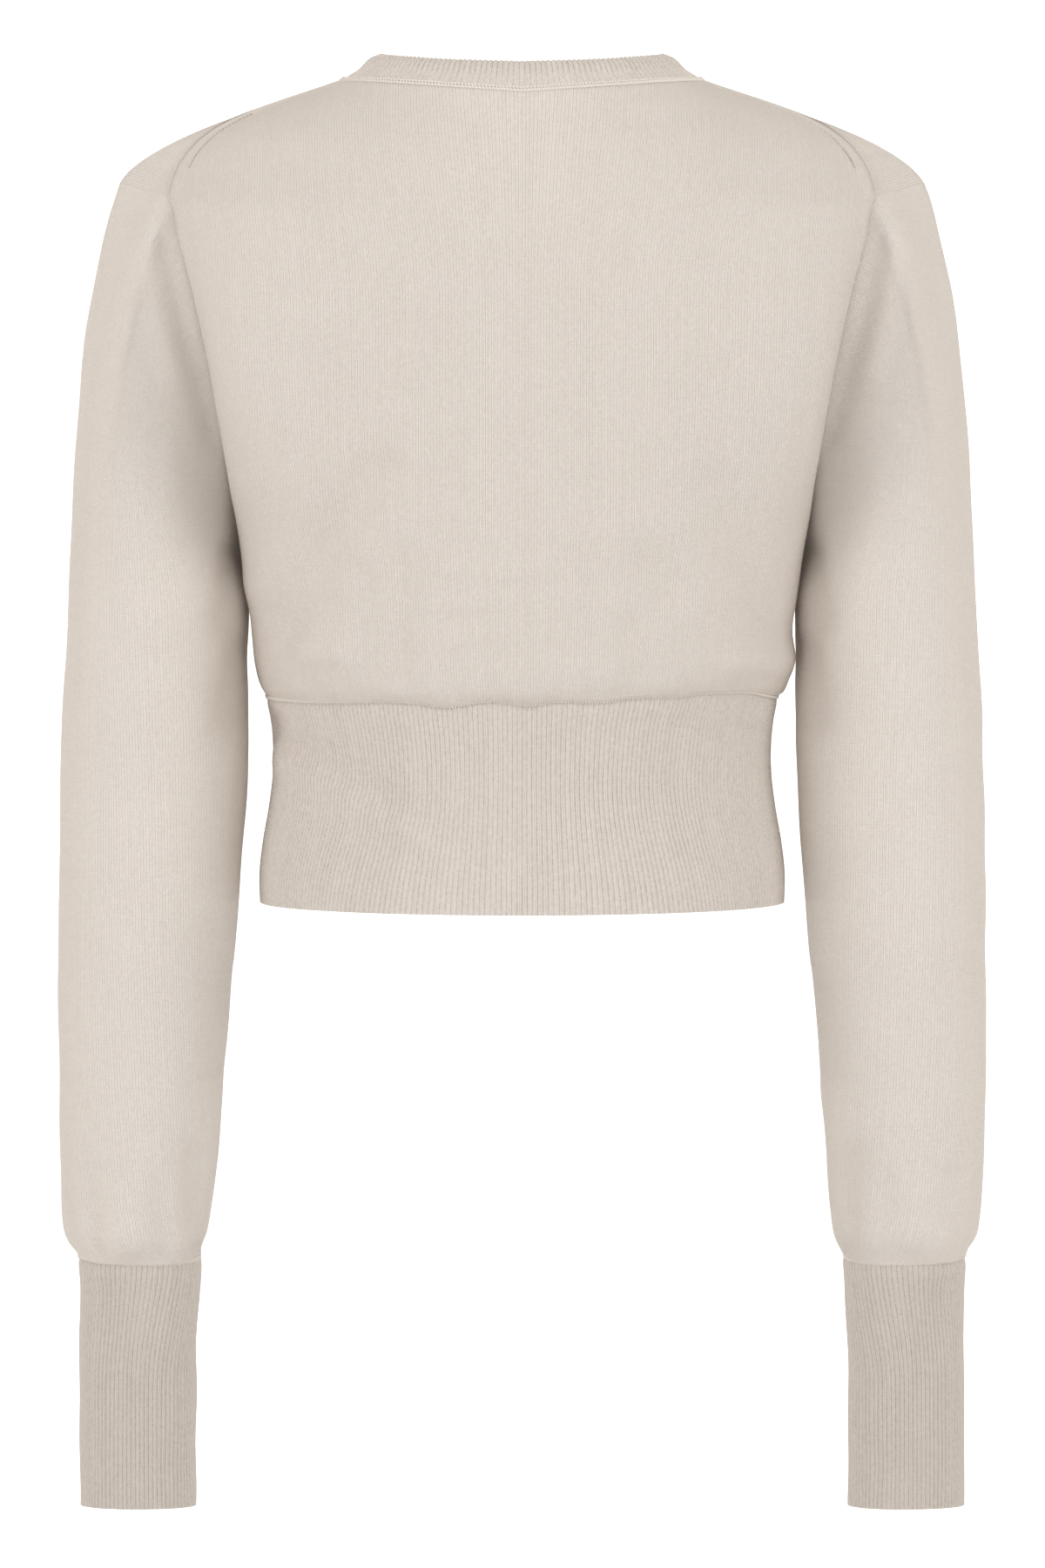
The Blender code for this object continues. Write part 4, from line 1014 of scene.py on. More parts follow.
def back_surface():
    """Grid of the back's left half, from the midline to its edge, and where its rows end."""
    table = [(ring.height, ring.back_y, RING_REACH, ring.turn, RING_REACH * ring.back_y, 0.0)
             for ring in BODY_RINGS]
    for number, row in enumerate(BACK_TABLE, start=1):
        share = max(0, number - ARM_COUNT) / SHOULDER_COUNT
        arch = NECK_ARCH * max(0.0, share - ARCH_START) / (1.0 - ARCH_START)
        table.append((row.spine_z, row.spine_y, row.reach, row.turn, row.hold, arch))
    table = np.array(table)
    shoulder = shoulder_curve(np.linspace(1.0, 0.0, SHOULDER_COUNT + 1))[1:]
    coarse_edge = np.concatenate((ring_edges(), SEAM_POINTS[1:BACK_CORNER + 1], shoulder))
    keys, at, rows, values = read_panel(table, table[:, (1, 0)], coarse_edge)
    edge = edge_line(rows, keys, at, np.minimum(rows - RING_LAST, BACK_CORNER))
    top = rows > RING_LAST + BACK_CORNER
    edge[top] = shoulder_curve(1.0 - (rows[top] - RING_LAST - BACK_CORNER) / SHOULDER_COUNT)
    spine_z, spine_y, reach, turn, hold, arch = values.T
    turn = np.radians(turn)
    none = np.zeros(len(at))
    start = np.stack((none, spine_y, spine_z), axis=1)
    start_hold = np.stack((reach * edge[:, 0], spine_y, spine_z + arch), axis=1)
    end_hold = edge + np.stack((-np.cos(turn) * hold, np.sin(turn) * hold, arch), axis=1)
    controls = np.stack((start, start_hold, end_hold, edge), axis=1)
    return bezier(controls, PANEL_STEPS), rows


def mirror(grid):
    """The other half's points."""
    return grid * np.array((-1.0, 1.0, 1.0))


def both_halves(half):
    """A whole panel from its left half, with the midline once."""
    return np.concatenate((mirror(half[:, :0:-1]), half), axis=1)


# %% [markdown]
# ## How the wales run
#
# A back is knitted straight, but on the rounded upper back its wales spread out like a fan, and
# beside the shoulder seam a margin of stitches follows the edge instead. The UV map shifts its
# count of wales outwards above the shoulder blades to draw the fan.

# %% The back's wales
FAN_START = -0.088
FAN_FULL = -0.050
FAN_SLOPE = 0.145
FAN_REACH = 0.048
SELVEDGE = 0.0080
SELVEDGE_FIRST = 1.5
SELVEDGE_RELIEF = 0.0006


def fan_shift(height):
    """How far the wales have moved outwards at a height, as the back is stretched over the top."""
    ramp = FAN_FULL - FAN_START
    above = np.maximum(height - FAN_START, 0.0)
    return FAN_SLOPE * np.where(above < ramp, above * above / (2 * ramp), above - ramp / 2)


def knit_counts(grid, middle, pitch):
    """UV map of a panel: wales counted from a middle column, stitch rows counted upwards."""
    across = across_rows(grid)
    across = across - across[:, middle:middle + 1]
    fan = fan_shift(grid[:, middle, 2])[:, None] * np.tanh(across / FAN_REACH)
    along = travelled(grid)
    return np.stack(((across - fan) / pitch[:, None], along / COURSE), axis=-1)


def row_pitch(rows, grid):
    """Wale width by row: the panel keeps its number of wales up to the underarm."""
    lengths = across_rows(grid)[:, -1]
    return WALE * np.where(rows < RING_LAST, lengths / lengths[underarm_row(rows)], 1.0)


back_half, back_rows = back_surface()
back_half, _ = sewn(back_half, back_rows)
back_grid = both_halves(back_half)
print("back rows and columns:", back_grid.shape[:2],
      "area cm2:", round(face_area(back_grid) * 1e4))

# %% [markdown]
# ## The back's folds and its rib join
#
# The rib pulls unevenly at the cloth above it, so the join isn't a straight line. A table gives
# how far it rises at each place. Folds fade out at every edge, where other pieces must meet it.

# %% Folds, join and gathers of a panel
EDGE_FADE = 0.009
JOIN_FADE = 0.005
LIFT_REACH = 0.020
FRONT_LIFT = 0.5
JOIN_LIFTS = make_table(
    "JoinLift", "x lift",
    (-0.1233, 0.0000), (-0.1178, 0.0020), (-0.1094, 0.0044), (-0.0968, 0.0050), (-0.0842, 0.0050),
    (-0.0758, 0.0040), (-0.0632, 0.0042), (-0.0506, 0.0040), (-0.0422, 0.0025), (-0.0212, 0.0026),
    (-0.0107, 0.0021), (-0.0053, 0.0008), (0.0000, 0.0010), (0.0103, 0.0025), (0.0208, 0.0023),
    (0.0292, 0.0008), (0.0376, -0.0002), (0.0502, 0.0015), (0.0628, 0.0019), (0.0838, 0.0010),
    (0.1006, 0.0002), (0.1233, 0.0000),
)
BODY_UNEVEN = 0.00035
BODY_WAVE = 0.045
GATHER = 0.0009
GATHER_WAVE = 0.013
GATHER_REACH = 0.016
GATHER_STRETCH = np.array((1.0, 1.0, 0.12))


def edge_mask(grid):
    """0 on the sewn edges of a panel, 1 inside it; it grows fastest above the rib join."""
    across = across_rows(grid)
    along = travelled(grid)
    near = np.minimum(across, across[:, -1:] - across)
    near = np.minimum(near, along[-1:] - along)
    return soft_step(near, 0.0, EDGE_FADE) * soft_step(along, 0.0, JOIN_FADE)


def lift_join(grid, front):
    """Raise the rib join unevenly, as the rib pulls at the cloth above it; the front less so."""
    across = grid[..., 0] * (-1.0 if front else 1.0)
    lift = between(column(JOIN_LIFTS, "x"), column(JOIN_LIFTS, "lift"), across.ravel())
    lift = lift.reshape(across.shape) * (FRONT_LIFT if front else 1.0)
    lift = lift * np.exp(-((grid[..., 2] - JOIN_HEIGHT) / LIFT_REACH) ** 2)
    return grid + lift[..., None] * np.array((0.0, 0.0, 1.0))


def lay_folds(piece, grid, normals, mask, seed):
    """Add a panel's folds, its slow unevenness and the small gathers over the rib."""
    raised = fold_heights(piece, grid)
    raised = raised + BODY_UNEVEN * soft_waves(grid, BODY_WAVE, seed)
    above = grid[..., 2] - JOIN_HEIGHT
    gathers = soft_waves(grid * GATHER_STRETCH, GATHER_WAVE, seed + 1)
    raised = raised + GATHER * gathers * np.exp(-(above / GATHER_REACH) ** 2)
    return lift_join(grid + normals * (raised * mask)[..., None], piece == "front")


# %% The back's cloth
back_normals = grid_normals(back_grid, inside=BODY_INSIDE)
back_grid = lay_folds("back", back_grid, back_normals, edge_mask(back_grid), 3)
from_edge = across_rows(back_grid)
from_edge = np.minimum(from_edge, from_edge[:, -1:] - from_edge)
welt = np.sin(math.pi * np.clip(from_edge / SELVEDGE, 0.0, 1.0)) ** 2
welt_first = RING_LAST + SELVEDGE_FIRST
welt = welt * soft_step(back_rows, welt_first, welt_first + 2)[:, None]
back_grid = back_grid + back_normals * (SELVEDGE_RELIEF * welt)[..., None]
back_middle = back_grid.shape[1] // 2
back_knit = knit_counts(back_grid, back_middle, row_pitch(back_rows, back_half))
back_piece = grid_object("back_panel", back_grid, back_normals, back_knit, BODY_KNIT)
from_edge[back_rows < welt_first] += SELVEDGE
mark_points(back_piece, "selvedge", SELVEDGE - from_edge)
keep(thicken(back_piece), ["back"])

# %% [markdown]
# ## The fronts
#
# Each front runs from the button band to the side seam, and at the top it goes on over the
# shoulder and down to a seam on the back, so that no seam lies on the shoulder itself. Its upper
# rows therefore arch from the neck to the sleeve, over the ridge. Both fronts are the same cut,
# mirrored, but their folds differ.

# %% The front's surface
NECK_FIRST = RING_LAST + len(FRONT_ARM_ROWS) + 1
BAND_UNDERLAP = 0.0005


def front_surface():
    """Grid of the left front, from the band to its edge, and where its rows end."""
    edges = np.concatenate((ring_edges(), SEAM_POINTS[:BACK_CORNER - 1:-1]))
    low_rows = [(ring.height, ring.front_y, RING_REACH, FRONT_SIDE_TURN, -RING_REACH * ring.front_y)
                for ring in BODY_RINGS]
    starts, holds, offsets = [], [], []
    for number, (z, y, reach, turn, hold) in enumerate((*low_rows, *FRONT_ARM_ROWS)):
        turn = math.radians(turn)
        starts.append((BAND_HALF_WIDTH, y, z))
        holds.append((reach * edges[number, 0], y, z))
        offsets.append((-math.cos(turn) * hold, -math.sin(turn) * hold, 0.0))
    for number, row in enumerate(FRONT_NECK_ROWS, start=NECK_FIRST):
        starts.append(row.neck)
        holds.append(row.inner_hold)
        offsets.append(tuple(np.array(row.outer_hold) - edges[number]))
    starts.append(tuple(SHOULDER_SEAM[0]))
    holds.append(tuple(SHOULDER_SEAM[1]))
    offsets.append(tuple(SHOULDER_SEAM[2] - SHOULDER_SEAM[3]))
    table = np.concatenate((starts, holds, offsets), axis=1)
    keys, at, rows, values = read_panel(table, table[:, :3], edges)
    edge = edge_line(rows, keys, at, SEAM_COUNT - (rows - RING_LAST))
    start = values[:, :3]
    start[:, 0] = np.maximum(start[:, 0], BAND_HALF_WIDTH - BAND_UNDERLAP)
    controls = np.stack((start, values[:, 3:6], edge + values[:, 6:], edge), axis=1)
    grid = bezier(controls, PANEL_STEPS)
    grid[-1] = shoulder_curve(PANEL_STEPS)
    return grid, rows


front_half, front_rows = front_surface()
front_half, front_normals = sewn(front_half, front_rows)
print("front rows and columns:", front_half.shape[:2],
      "area cm2:", round(face_area(front_half) * 1e4))

# %% [markdown]
# ## The fronts' wales and both fronts
#
# The wales run up from the hem. Above the underarm they keep their distance from the armhole, as
# they do on a panel that is narrowed beside the band, and so they pass over the shoulder.

# %% Both fronts


def front_knit(grid):
    """Wales run up from the hem, and lie along the armhole and over the shoulder at the top."""
    across = across_rows(grid)
    lengths = across[:, -1]
    follow = soft_step(front_rows, RING_LAST, NECK_FIRST)
    shift = (lengths[underarm_row(front_rows)] - lengths) * follow
    counted = (across + shift[:, None]) / row_pitch(front_rows, grid)[:, None]
    return np.stack((counted, travelled(grid) / COURSE), axis=-1)


front_edges = {}
for side, side_name in ((1, "left"), (-1, "right")):
    flip = np.array((side, 1.0, 1.0))
    grid = front_half * flip
    normals = front_normals * flip
    grid = lay_folds("front", grid, normals, edge_mask(grid), 21 + side)
    front_edges[side_name] = grid[0]
    piece = grid_object(f"front_panel_{side_name}", grid, normals, front_knit(front_half),
                        BODY_KNIT)
    keep(thicken(piece), [f"front_{side_name}"])

# %% [markdown]
# ## The sleeves
#
# A sleeve is a knitted tube, sewn to the armhole at its top and gathered into the cuff at its foot.
# Its cap is made from one arc for each place round the armhole: the arc starts on the seam, leaves
# it in the direction that the table gives, and lands on the first full ring of the tube. Below
# that, rings a few millimetres apart follow the table down to the cuff.

# %% Tubes and the sleeve's surface
SLEEVE_COLUMNS = 112
CAP_STEPS = 30
CAP_SLOPE_STEP = 0.004
TUBE_STEP = 0.0036
TIP_PLACE = 10
BACK_FOLDS_RISE = (-0.0075, 0.0135)
FRONT_FOLDS_FALL = (-0.0135, 0.0075)


def tube_points(table, levels, ways):
    """Rings of a tube at the given levels; ways are angles from the outer side (columns)."""
    keys = -column(table, "level")
    outer_x, inner_x, half_depth, centre_y = (
        between(keys, column(table, name), -np.asarray(levels))[:, None]
        for name in ("outer_x", "inner_x", "half_depth", "centre_y"))
    power = 2.0 / TUBE_SQUARENESS
    cosine = np.sign(np.cos(ways)) * np.abs(np.cos(ways)) ** power
    sine = np.sign(np.sin(ways)) * np.abs(np.sin(ways)) ** power
    x = (outer_x + inner_x) / 2 + (outer_x - inner_x) / 2 * cosine
    y = centre_y + half_depth * sine
    z = np.broadcast_to(np.asarray(levels)[:, None], x.shape)
    return np.stack((x, y, z), axis=-1)


def sleeve_surface():
    """Rings of the left sleeve, from the armhole down to the cuff."""
    at = np.arange(SLEEVE_COLUMNS) * SEAM_COUNT / SLEEVE_COLUMNS
    start = around(SEAM_POINTS, at)
    leave = around(np.stack([column(ARMHOLE, f"leave_{axis}") for axis in "xyz"], axis=1), at)
    run = around(column(ARMHOLE, "run")[:, None], at)
    angles = np.radians(column(ARMHOLE, "angle"))
    turned = around(np.stack((np.cos(angles), np.sin(angles)), axis=1), at)
    ways = np.arctan2(turned[:, 1], turned[:, 0])
    first = SLEEVE_RINGS[0].level
    top, below = tube_points(SLEEVE_RINGS, [first, first - CAP_SLOPE_STEP], ways)
    controls = np.stack((start, start + unit(leave) * run, top + unit(top - below) * run, top),
                        axis=1)
    cap = bezier(controls, np.linspace(0.0, 1.0, CAP_STEPS + 1)).transpose(1, 0, 2)
    levels = np.arange(first - TUBE_STEP, CUFF_JOIN_HEIGHT, -TUBE_STEP)
    levels = np.concatenate((levels, [CUFF_JOIN_HEIGHT]))
    return np.concatenate((cap, tube_points(SLEEVE_RINGS, levels, ways)))


def ring_centres(grid):
    """The middle of each ring of a tube."""
    return grid.mean(axis=1, keepdims=True)


def tube_normals(grid):
    """Normals of a tube, away from its own middle line."""
    return grid_normals(grid, closed=True, inside=ring_centres(grid)[grid.shape[0] // 2])


def closed_knit(grid, first, pitch):
    """UV map of a tube: wales counted from a first column, stitch rows from the foot up."""
    ring = np.concatenate((grid, grid[:, :1]), axis=1)
    across = across_rows(ring)
    across = across - across[:, first:first + 1]
    along = travelled(ring)
    along = along[-1:] - along
    return np.stack((across / pitch, along / COURSE), axis=-1)


def faced_folds(piece, grid, centres):
    """Folds of a tube, from one table for its back and one for its front."""
    depth = grid[..., 1] - centres[..., 1]
    back = soft_step(depth, *BACK_FOLDS_RISE)
    front = 1.0 - soft_step(depth, *FRONT_FOLDS_FALL)
    return fold_heights(f"{piece}_back", grid) * back + fold_heights(f"{piece}_front", grid) * front


sleeve_half = sleeve_surface()
tip_column = int(round(TIP_PLACE * SLEEVE_COLUMNS / SEAM_COUNT))
print("sleeve rings and columns:", sleeve_half.shape[:2],
      "area cm2:", round(face_area(sleeve_half, True) * 1e4))

# %% [markdown]
# ## The sleeves' folds and cloth
#
# The sleeve is much wider than its cuff, so its foot blouses: it swells, is drawn in sharply at
# the join, hangs over it a little at the back and has small gathers above it.

# %% The sleeves' folds and cloth
SLEEVE_UNEVEN = 0.0006
SLEEVE_WAVE = 0.055
CUFF_GATHER = 0.0015
CUFF_GATHER_WAVE = 0.016
CUFF_GATHER_REACH = 0.030
CUFF_GATHER_STRETCH = np.array((1.0, 1.0, 0.10))
CUFF_DRAW = 0.0019
CUFF_DRAW_REACH = 0.0075
CUFF_SAG = 0.0030
CUFF_SAG_REACH = 0.016
SAG_START = -0.2
HUB_WAY = unit(ARMHOLE_HUB - sleeve_half[0])
SLEEVE_KNIT_MAP = closed_knit(sleeve_half, tip_column, WALE)


def sag_join(grid, normals):
    """Lower the cuff's join at the back of the arm, where the sleeve hangs over it."""
    sag = CUFF_SAG * soft_step(normals[..., 1], SAG_START, 1.0)
    sag = sag * np.exp(-((grid[..., 2] - CUFF_JOIN_HEIGHT) / CUFF_SAG_REACH) ** 2)
    return grid - sag[..., None] * np.array((0.0, 0.0, 1.0))


def build_sleeve(side, side_name, seed):
    """Make the sleeve of one side; side is 1 for the wearer's left and -1 for the right."""
    normals = tube_normals(sleeve_half)
    centres = ring_centres(sleeve_half)
    from_top = travelled(sleeve_half)
    raised = faced_folds("sleeve", sleeve_half, centres)
    raised = raised + SLEEVE_UNEVEN * soft_waves(sleeve_half, SLEEVE_WAVE, seed)
    above_cuff = sleeve_half[..., 2] - CUFF_JOIN_HEIGHT
    gathers = soft_waves(sleeve_half * CUFF_GATHER_STRETCH, CUFF_GATHER_WAVE, seed + 1)
    raised = raised + CUFF_GATHER * gathers * np.exp(-(above_cuff / CUFF_GATHER_REACH) ** 2)
    raised = raised * soft_step(from_top, 0.0, EDGE_FADE) * soft_step(above_cuff, 0.0, JOIN_FADE)
    raised = raised - CUFF_DRAW * np.exp(-(above_cuff / CUFF_DRAW_REACH) ** 2)
    shaped = sag_join(sleeve_half + normals * raised[..., None], normals)
    depth = SEAM_DRAW * np.exp(-(from_top / SEAM_DRAW_WIDTH) ** 2)
    ways = -normals
    ways[0] = HUB_WAY
    shaped = shaped + ways * depth[..., None]
    flip = np.array((side, 1.0, 1.0))
    piece = grid_object(f"sleeve_{side_name}_knit", shaped * flip, normals * flip, SLEEVE_KNIT_MAP,
                        SLEEVE_KNIT_PAINTED_LIGHT, closed=True)
    keep(thicken(piece), [f"sleeve_{side_name}"])
    return shaped * flip


sleeve_left = build_sleeve(1, "left", 41)
sleeve_right = build_sleeve(-1, "right", 47)

# %% [markdown]
# ## Short calls for Geometry Nodes
#
# Two trees are built in this file: one raises ribs, the other repeats a stitch. Both take in a
# mesh and named inputs, and both end by turning instances into real mesh and setting the material,
# so a small class holds what they share.

# %% Tree calls


class Tree(Calls):
    """A Geometry Nodes tree with a mesh, named inputs and a material coming in."""

    def __init__(self, name, **kinds):
        super().__init__(bpy.data.node_groups.new(name, "GeometryNodeTree"))
        face = self.tree.interface
        face.new_socket("Geometry", in_out="INPUT", socket_type="NodeSocketGeometry")
        made = {label: face.new_socket(label, in_out="INPUT", socket_type=f"NodeSocket{kind}")
                for label, kind in {**kinds, "Paint": "Material"}.items()}
        face.new_socket("Geometry", in_out="OUTPUT", socket_type="NodeSocketGeometry")
        self.sockets = {label: socket.identifier for label, socket in made.items()}
        self.inputs = self.add("NodeGroupInput").outputs

    def attribute(self, label, kind="FLOAT"):
        """A value stored on the mesh's points."""
        node = self.add("GeometryNodeInputNamedAttribute")
        node.data_type = kind
        node.inputs["Name"].default_value = label
        return node.outputs["Attribute"]

    def close(self, geometry):
        """Realize the geometry, paint it and send it out."""
        realize = self.add("GeometryNodeRealizeInstances")
        self.link(geometry, realize.inputs[0])
        colour = self.add("GeometryNodeSetMaterial")
        self.link(realize.outputs[0], colour.inputs["Geometry"])
        self.link(self.inputs["Paint"], colour.inputs["Material"])
        self.link(colour.outputs[0], self.add("NodeGroupOutput").inputs[0])

    def put_on(self, thing, name, **values):
        """Add the tree to a piece, with its inputs set by their sockets' identifiers."""
        modifier = thing.modifiers.new(name, "NODES")
        modifier.node_group = self.tree
        for label, value in values.items():
            modifier[self.sockets[label]] = value


# %% [markdown]
# ## Ribs as geometry
#
# One-by-one rib is elastic cloth whose ribs stand up in rows, so its outline is visibly fluted.
# Its relief is the same everywhere, which suits Geometry Nodes: the piece comes in as a smooth
# grid that carries two numbers at each point, its place across the ribs and how strong they are
# there. The tree lowers the grooves along the normal and leaves the crests. Depth and sharpness
# are inputs, so the hem, the cuffs and the neckband share one tree.

# %% The rib tree
RIB_DEPTH = 0.00055
RIB_SHARPNESS = 0.6
RIB_CLOTH = 0.0012
RIB_CUTS = 6


def rib_tree():
    """Geometry Nodes that turn a smooth grid into rib, from its point attributes."""
    tree = Tree("rib relief", Depth="Float", Sharpness="Float")
    turn = tree.math("MULTIPLY", tree.attribute("rib_place"), 2 * math.pi)
    wave = tree.math("MULTIPLY_ADD", tree.math("COSINE", turn), -0.5, 0.5)
    crest = tree.math("POWER", wave, tree.inputs["Sharpness"])
    sink = tree.math("MULTIPLY", tree.math("SUBTRACT", crest, 1.0), tree.inputs["Depth"])
    sink = tree.math("MULTIPLY", sink, tree.attribute("rib_strength"))
    scale = tree.add("ShaderNodeVectorMath")
    scale.operation = "SCALE"
    tree.link(tree.add("GeometryNodeInputNormal").outputs[0], scale.inputs[0])
    tree.link(sink, scale.inputs["Scale"])
    shift = tree.add("GeometryNodeSetPosition")
    tree.link(tree.inputs["Geometry"], shift.inputs["Geometry"])
    tree.link(scale.outputs[0], shift.inputs["Offset"])
    tree.close(shift.outputs[0])
    return tree


RIB_TREE = rib_tree()
print("rib inputs:", RIB_TREE.sockets)

# %% [markdown]
# ## A piece of rib
#
# The grid has six columns for each rib, enough to round it. The tree runs first and Solidify
# after it, so the inside follows the ribs, as it does in real rib, which is the same on both faces.

# %% Rib pieces


def rib_piece(name, grid, normals, ribs, strength, paint, depth=RIB_DEPTH,
              sharpness=RIB_SHARPNESS, closed=False):
    """Make a rib piece: ribs crests across the grid, whose strength is given at each point."""
    columns = grid.shape[1]
    spans = columns if closed else columns - 1
    place = np.arange(columns) * ribs / spans
    marks = np.arange(spans + 1) * ribs / spans
    along = travelled(np.concatenate((grid, grid[:, :1]), axis=1) if closed else grid) / COURSE
    knit = np.stack((np.broadcast_to(marks, along.shape), along), axis=-1)
    thing = grid_object(name, grid, normals, knit, paint, closed)
    for label, values in (("rib_place", np.broadcast_to(place, grid.shape[:2])),
                          ("rib_strength", np.broadcast_to(strength, grid.shape[:2]))):
        mark_points(thing, label, values)
    RIB_TREE.put_on(thing, "ribs", Depth=depth, Sharpness=sharpness, Paint=paint)
    return thicken(thing, RIB_CLOTH)


# %% [markdown]
# ## The hem rib
#
# The hem rib takes up a quarter of the garment's length and draws the body in at the waist. It is
# made as three pieces, one behind and one on each front, that meet at the side seams. Their
# columns are spaced evenly along the arc, six for each rib, so that all ribs are equally wide.

# %% How ribs are spaced, lean and stand out
HEM_PITCH = 0.0023
HEM_ROW_STEP = 0.0045
RIB_LEANS = make_table(
    "RibLean", "height left right",
    (HEM_HEIGHT, 0.0090, 0.0080),
    (-0.3560, 0.0050, 0.0045),
    (-0.3370, 0.0012, 0.0012),
    (-0.3180, 0.0000, 0.0000),
    (-0.3010, 0.0008, 0.0018),
    (JOIN_HEIGHT, 0.0036, 0.0062),
)
HEM_FINE_STEPS = 240
HEM_INSIDE = (0.0, 0.0, -0.33)
HEM_FOLD_FADE = 0.008
HEM_WAVE = 0.060
# At the join a rib is tucked under the plain cloth; below it the rib stands out in full.
RIB_SWELL = 0.0007
RIB_SWELL_REACH = 0.005
SINK_REACH = 0.002
RIB_RISE = 0.004
JOIN_STRENGTH = 0.45
JOIN_TUCK = 0.0008
JOIN_STEPS = np.array((0.0042, 0.0026, 0.0014, 0.0005))
JOIN_SINK = 0.0004
HEM_UNEVEN = 0.0006


def even_columns(grid, count, leans=None, halves=1):
    """Read each row of a grid again at even places, or with its ribs leaning out by the leans."""
    out = np.empty((grid.shape[0], count + 1, 3))
    share = np.linspace(0.0, 1.0, count + 1)
    side = np.where(share < 0.5, 0, 1) if halves == 2 else np.ones(count + 1, dtype=int)
    from_middle = np.abs(2 * share - 1) if halves == 2 else share
    outward = np.where(side == 0, -1.0, 1.0) * np.sin(math.pi * from_middle) ** 2
    for number, row in enumerate(grid):
        run = travelled(row)
        places = share * run[-1]
        if leans is not None:
            places = places + outward * leans[number, side]
        out[number] = read_line(places, run, row)
    return out


def rib_leans(heights):
    """How far the ribs lean out at each height, on the wearer's right and left."""
    keys = column(RIB_LEANS, "height")
    return np.stack((between(keys, column(RIB_LEANS, "right"), heights),
                     between(keys, column(RIB_LEANS, "left"), heights)), axis=1)


def side_fade(grid, front):
    """0 at the side seams of a hem piece, where back and front must meet, 1 away from them."""
    across = across_rows(grid)
    near = across[:, -1:] - across
    if not front:
        near = np.minimum(near, across)
    return soft_step(near, 0.0, EDGE_FADE)


def rib_swell(from_top):
    """How far the ribbed cloth stands out, by the distance below its join."""
    swell = RIB_SWELL * soft_step(from_top, 0.0, RIB_SWELL_REACH)
    return swell - JOIN_SINK * (1 - soft_step(from_top, 0.0, SINK_REACH))


def rib_strength(from_top):
    """How strong the ribs are, by the distance below their join."""
    return JOIN_STRENGTH + (1 - JOIN_STRENGTH) * soft_step(from_top, 0.0, RIB_RISE)


# %% The hem pieces


def hem_rows(front):
    """Controls of the hem's rows, from its lower edge up to the join."""
    heights = np.arange(HEM_HEIGHT, JOIN_HEIGHT, HEM_ROW_STEP)
    heights = np.concatenate((heights[:-1], JOIN_HEIGHT - JOIN_STEPS, [JOIN_HEIGHT]))
    keys = column(RINGS, "height")
    half_width = between(keys, column(RINGS, "half_width"), heights)
    depth = between(keys, column(RINGS, "front_y" if front else "back_y"), heights)
    heights[-1] += JOIN_TUCK
    turn = math.radians(FRONT_SIDE_TURN if front else 90.0)
    none = np.zeros(len(heights))
    start_x = none + (BAND_HALF_WIDTH if front else 0.0)
    hold = RING_REACH * np.abs(depth)
    side = -1.0 if front else 1.0
    pull_x, pull_y = half_width - math.cos(turn) * hold, side * math.sin(turn) * hold
    points = ((start_x, depth), (RING_REACH * half_width, depth), (pull_x, pull_y),
              (half_width, none))
    return np.stack([np.stack((x, y, heights), axis=1) for x, y in points], axis=1)


def hem_piece(name, node, front, side, fold_name, seed):
    """One hem rib; side is 1 on the wearer's left and -1 on the right."""
    fine = bezier(hem_rows(front), np.linspace(0.0, 1.0, HEM_FINE_STEPS))
    if not front:
        fine = both_halves(fine)
    length = float(travelled(fine[len(fine) // 2])[-1])
    ribs = int(round(length / HEM_PITCH))
    leans = rib_leans(fine[:, 0, 2])
    if side < 0:
        leans = leans[:, ::-1]
    grid = even_columns(fine, ribs * RIB_CUTS, leans, 1 if front else 2)
    grid = grid * np.array((side, 1.0, 1.0))
    normals = grid_normals(grid, inside=HEM_INSIDE)
    from_top = JOIN_HEIGHT - grid[..., 2]
    fade = soft_step(from_top, 0.0, HEM_FOLD_FADE) * side_fade(grid, front)
    raised = fold_heights(fold_name, grid) + HEM_UNEVEN * soft_waves(grid, HEM_WAVE, seed)
    grid = lift_join(grid + normals * (raised * fade + rib_swell(from_top))[..., None], front)
    piece = rib_piece(name, grid, normals, ribs, rib_strength(from_top), RIB_KNIT)
    return keep(piece, [node])


hem_piece("hem_rib_back", "hem_back", False, 1, "hem_back", 61)
hem_piece("hem_rib_front_left", "hem_front_left", True, 1, "hem_front", 67)
hem_piece("hem_rib_front_right", "hem_front_right", True, -1, "hem_front", 71)

# %% [markdown]
# ## The cuffs
#
# Each cuff is a long ribbed tube with a rib every 2.5 mm. It is narrower than the sleeve's foot,
# which gathers into it. Like the hem it is a smooth tube first, and the rib tree flutes it.

# %% The cuffs
CUFF_PITCH = 0.0025
CUFF_ROW_STEP = 0.0045
CUFF_UNEVEN = 0.0007
CUFF_LEAN = 0.0080
CUFF_LEAN_LENGTH = 0.060
CUFF_FINE_STEPS = 481
CUFF_FOLD_FADE = 0.010
CUFF_WAVE = 0.05


def leaning_tube(fine, count):
    """Read each ring of a tube at even places that lean round it, most on its inner side."""
    share = np.linspace(0.0, 1.0, count + 1)[:-1]
    inner = (1.0 + np.cos(2 * math.pi * share)) / 2
    out = np.empty((fine.shape[0], count, 3))
    for number, ring in enumerate(fine):
        run = travelled(ring)
        leaned = CUFF_LEAN * soft_step(CUFF_JOIN_HEIGHT - ring[0, 2], 0.0, CUFF_LEAN_LENGTH)
        places = np.mod(share * run[-1] - leaned * inner, run[-1])
        out[number] = read_line(places, run, ring)
    return out


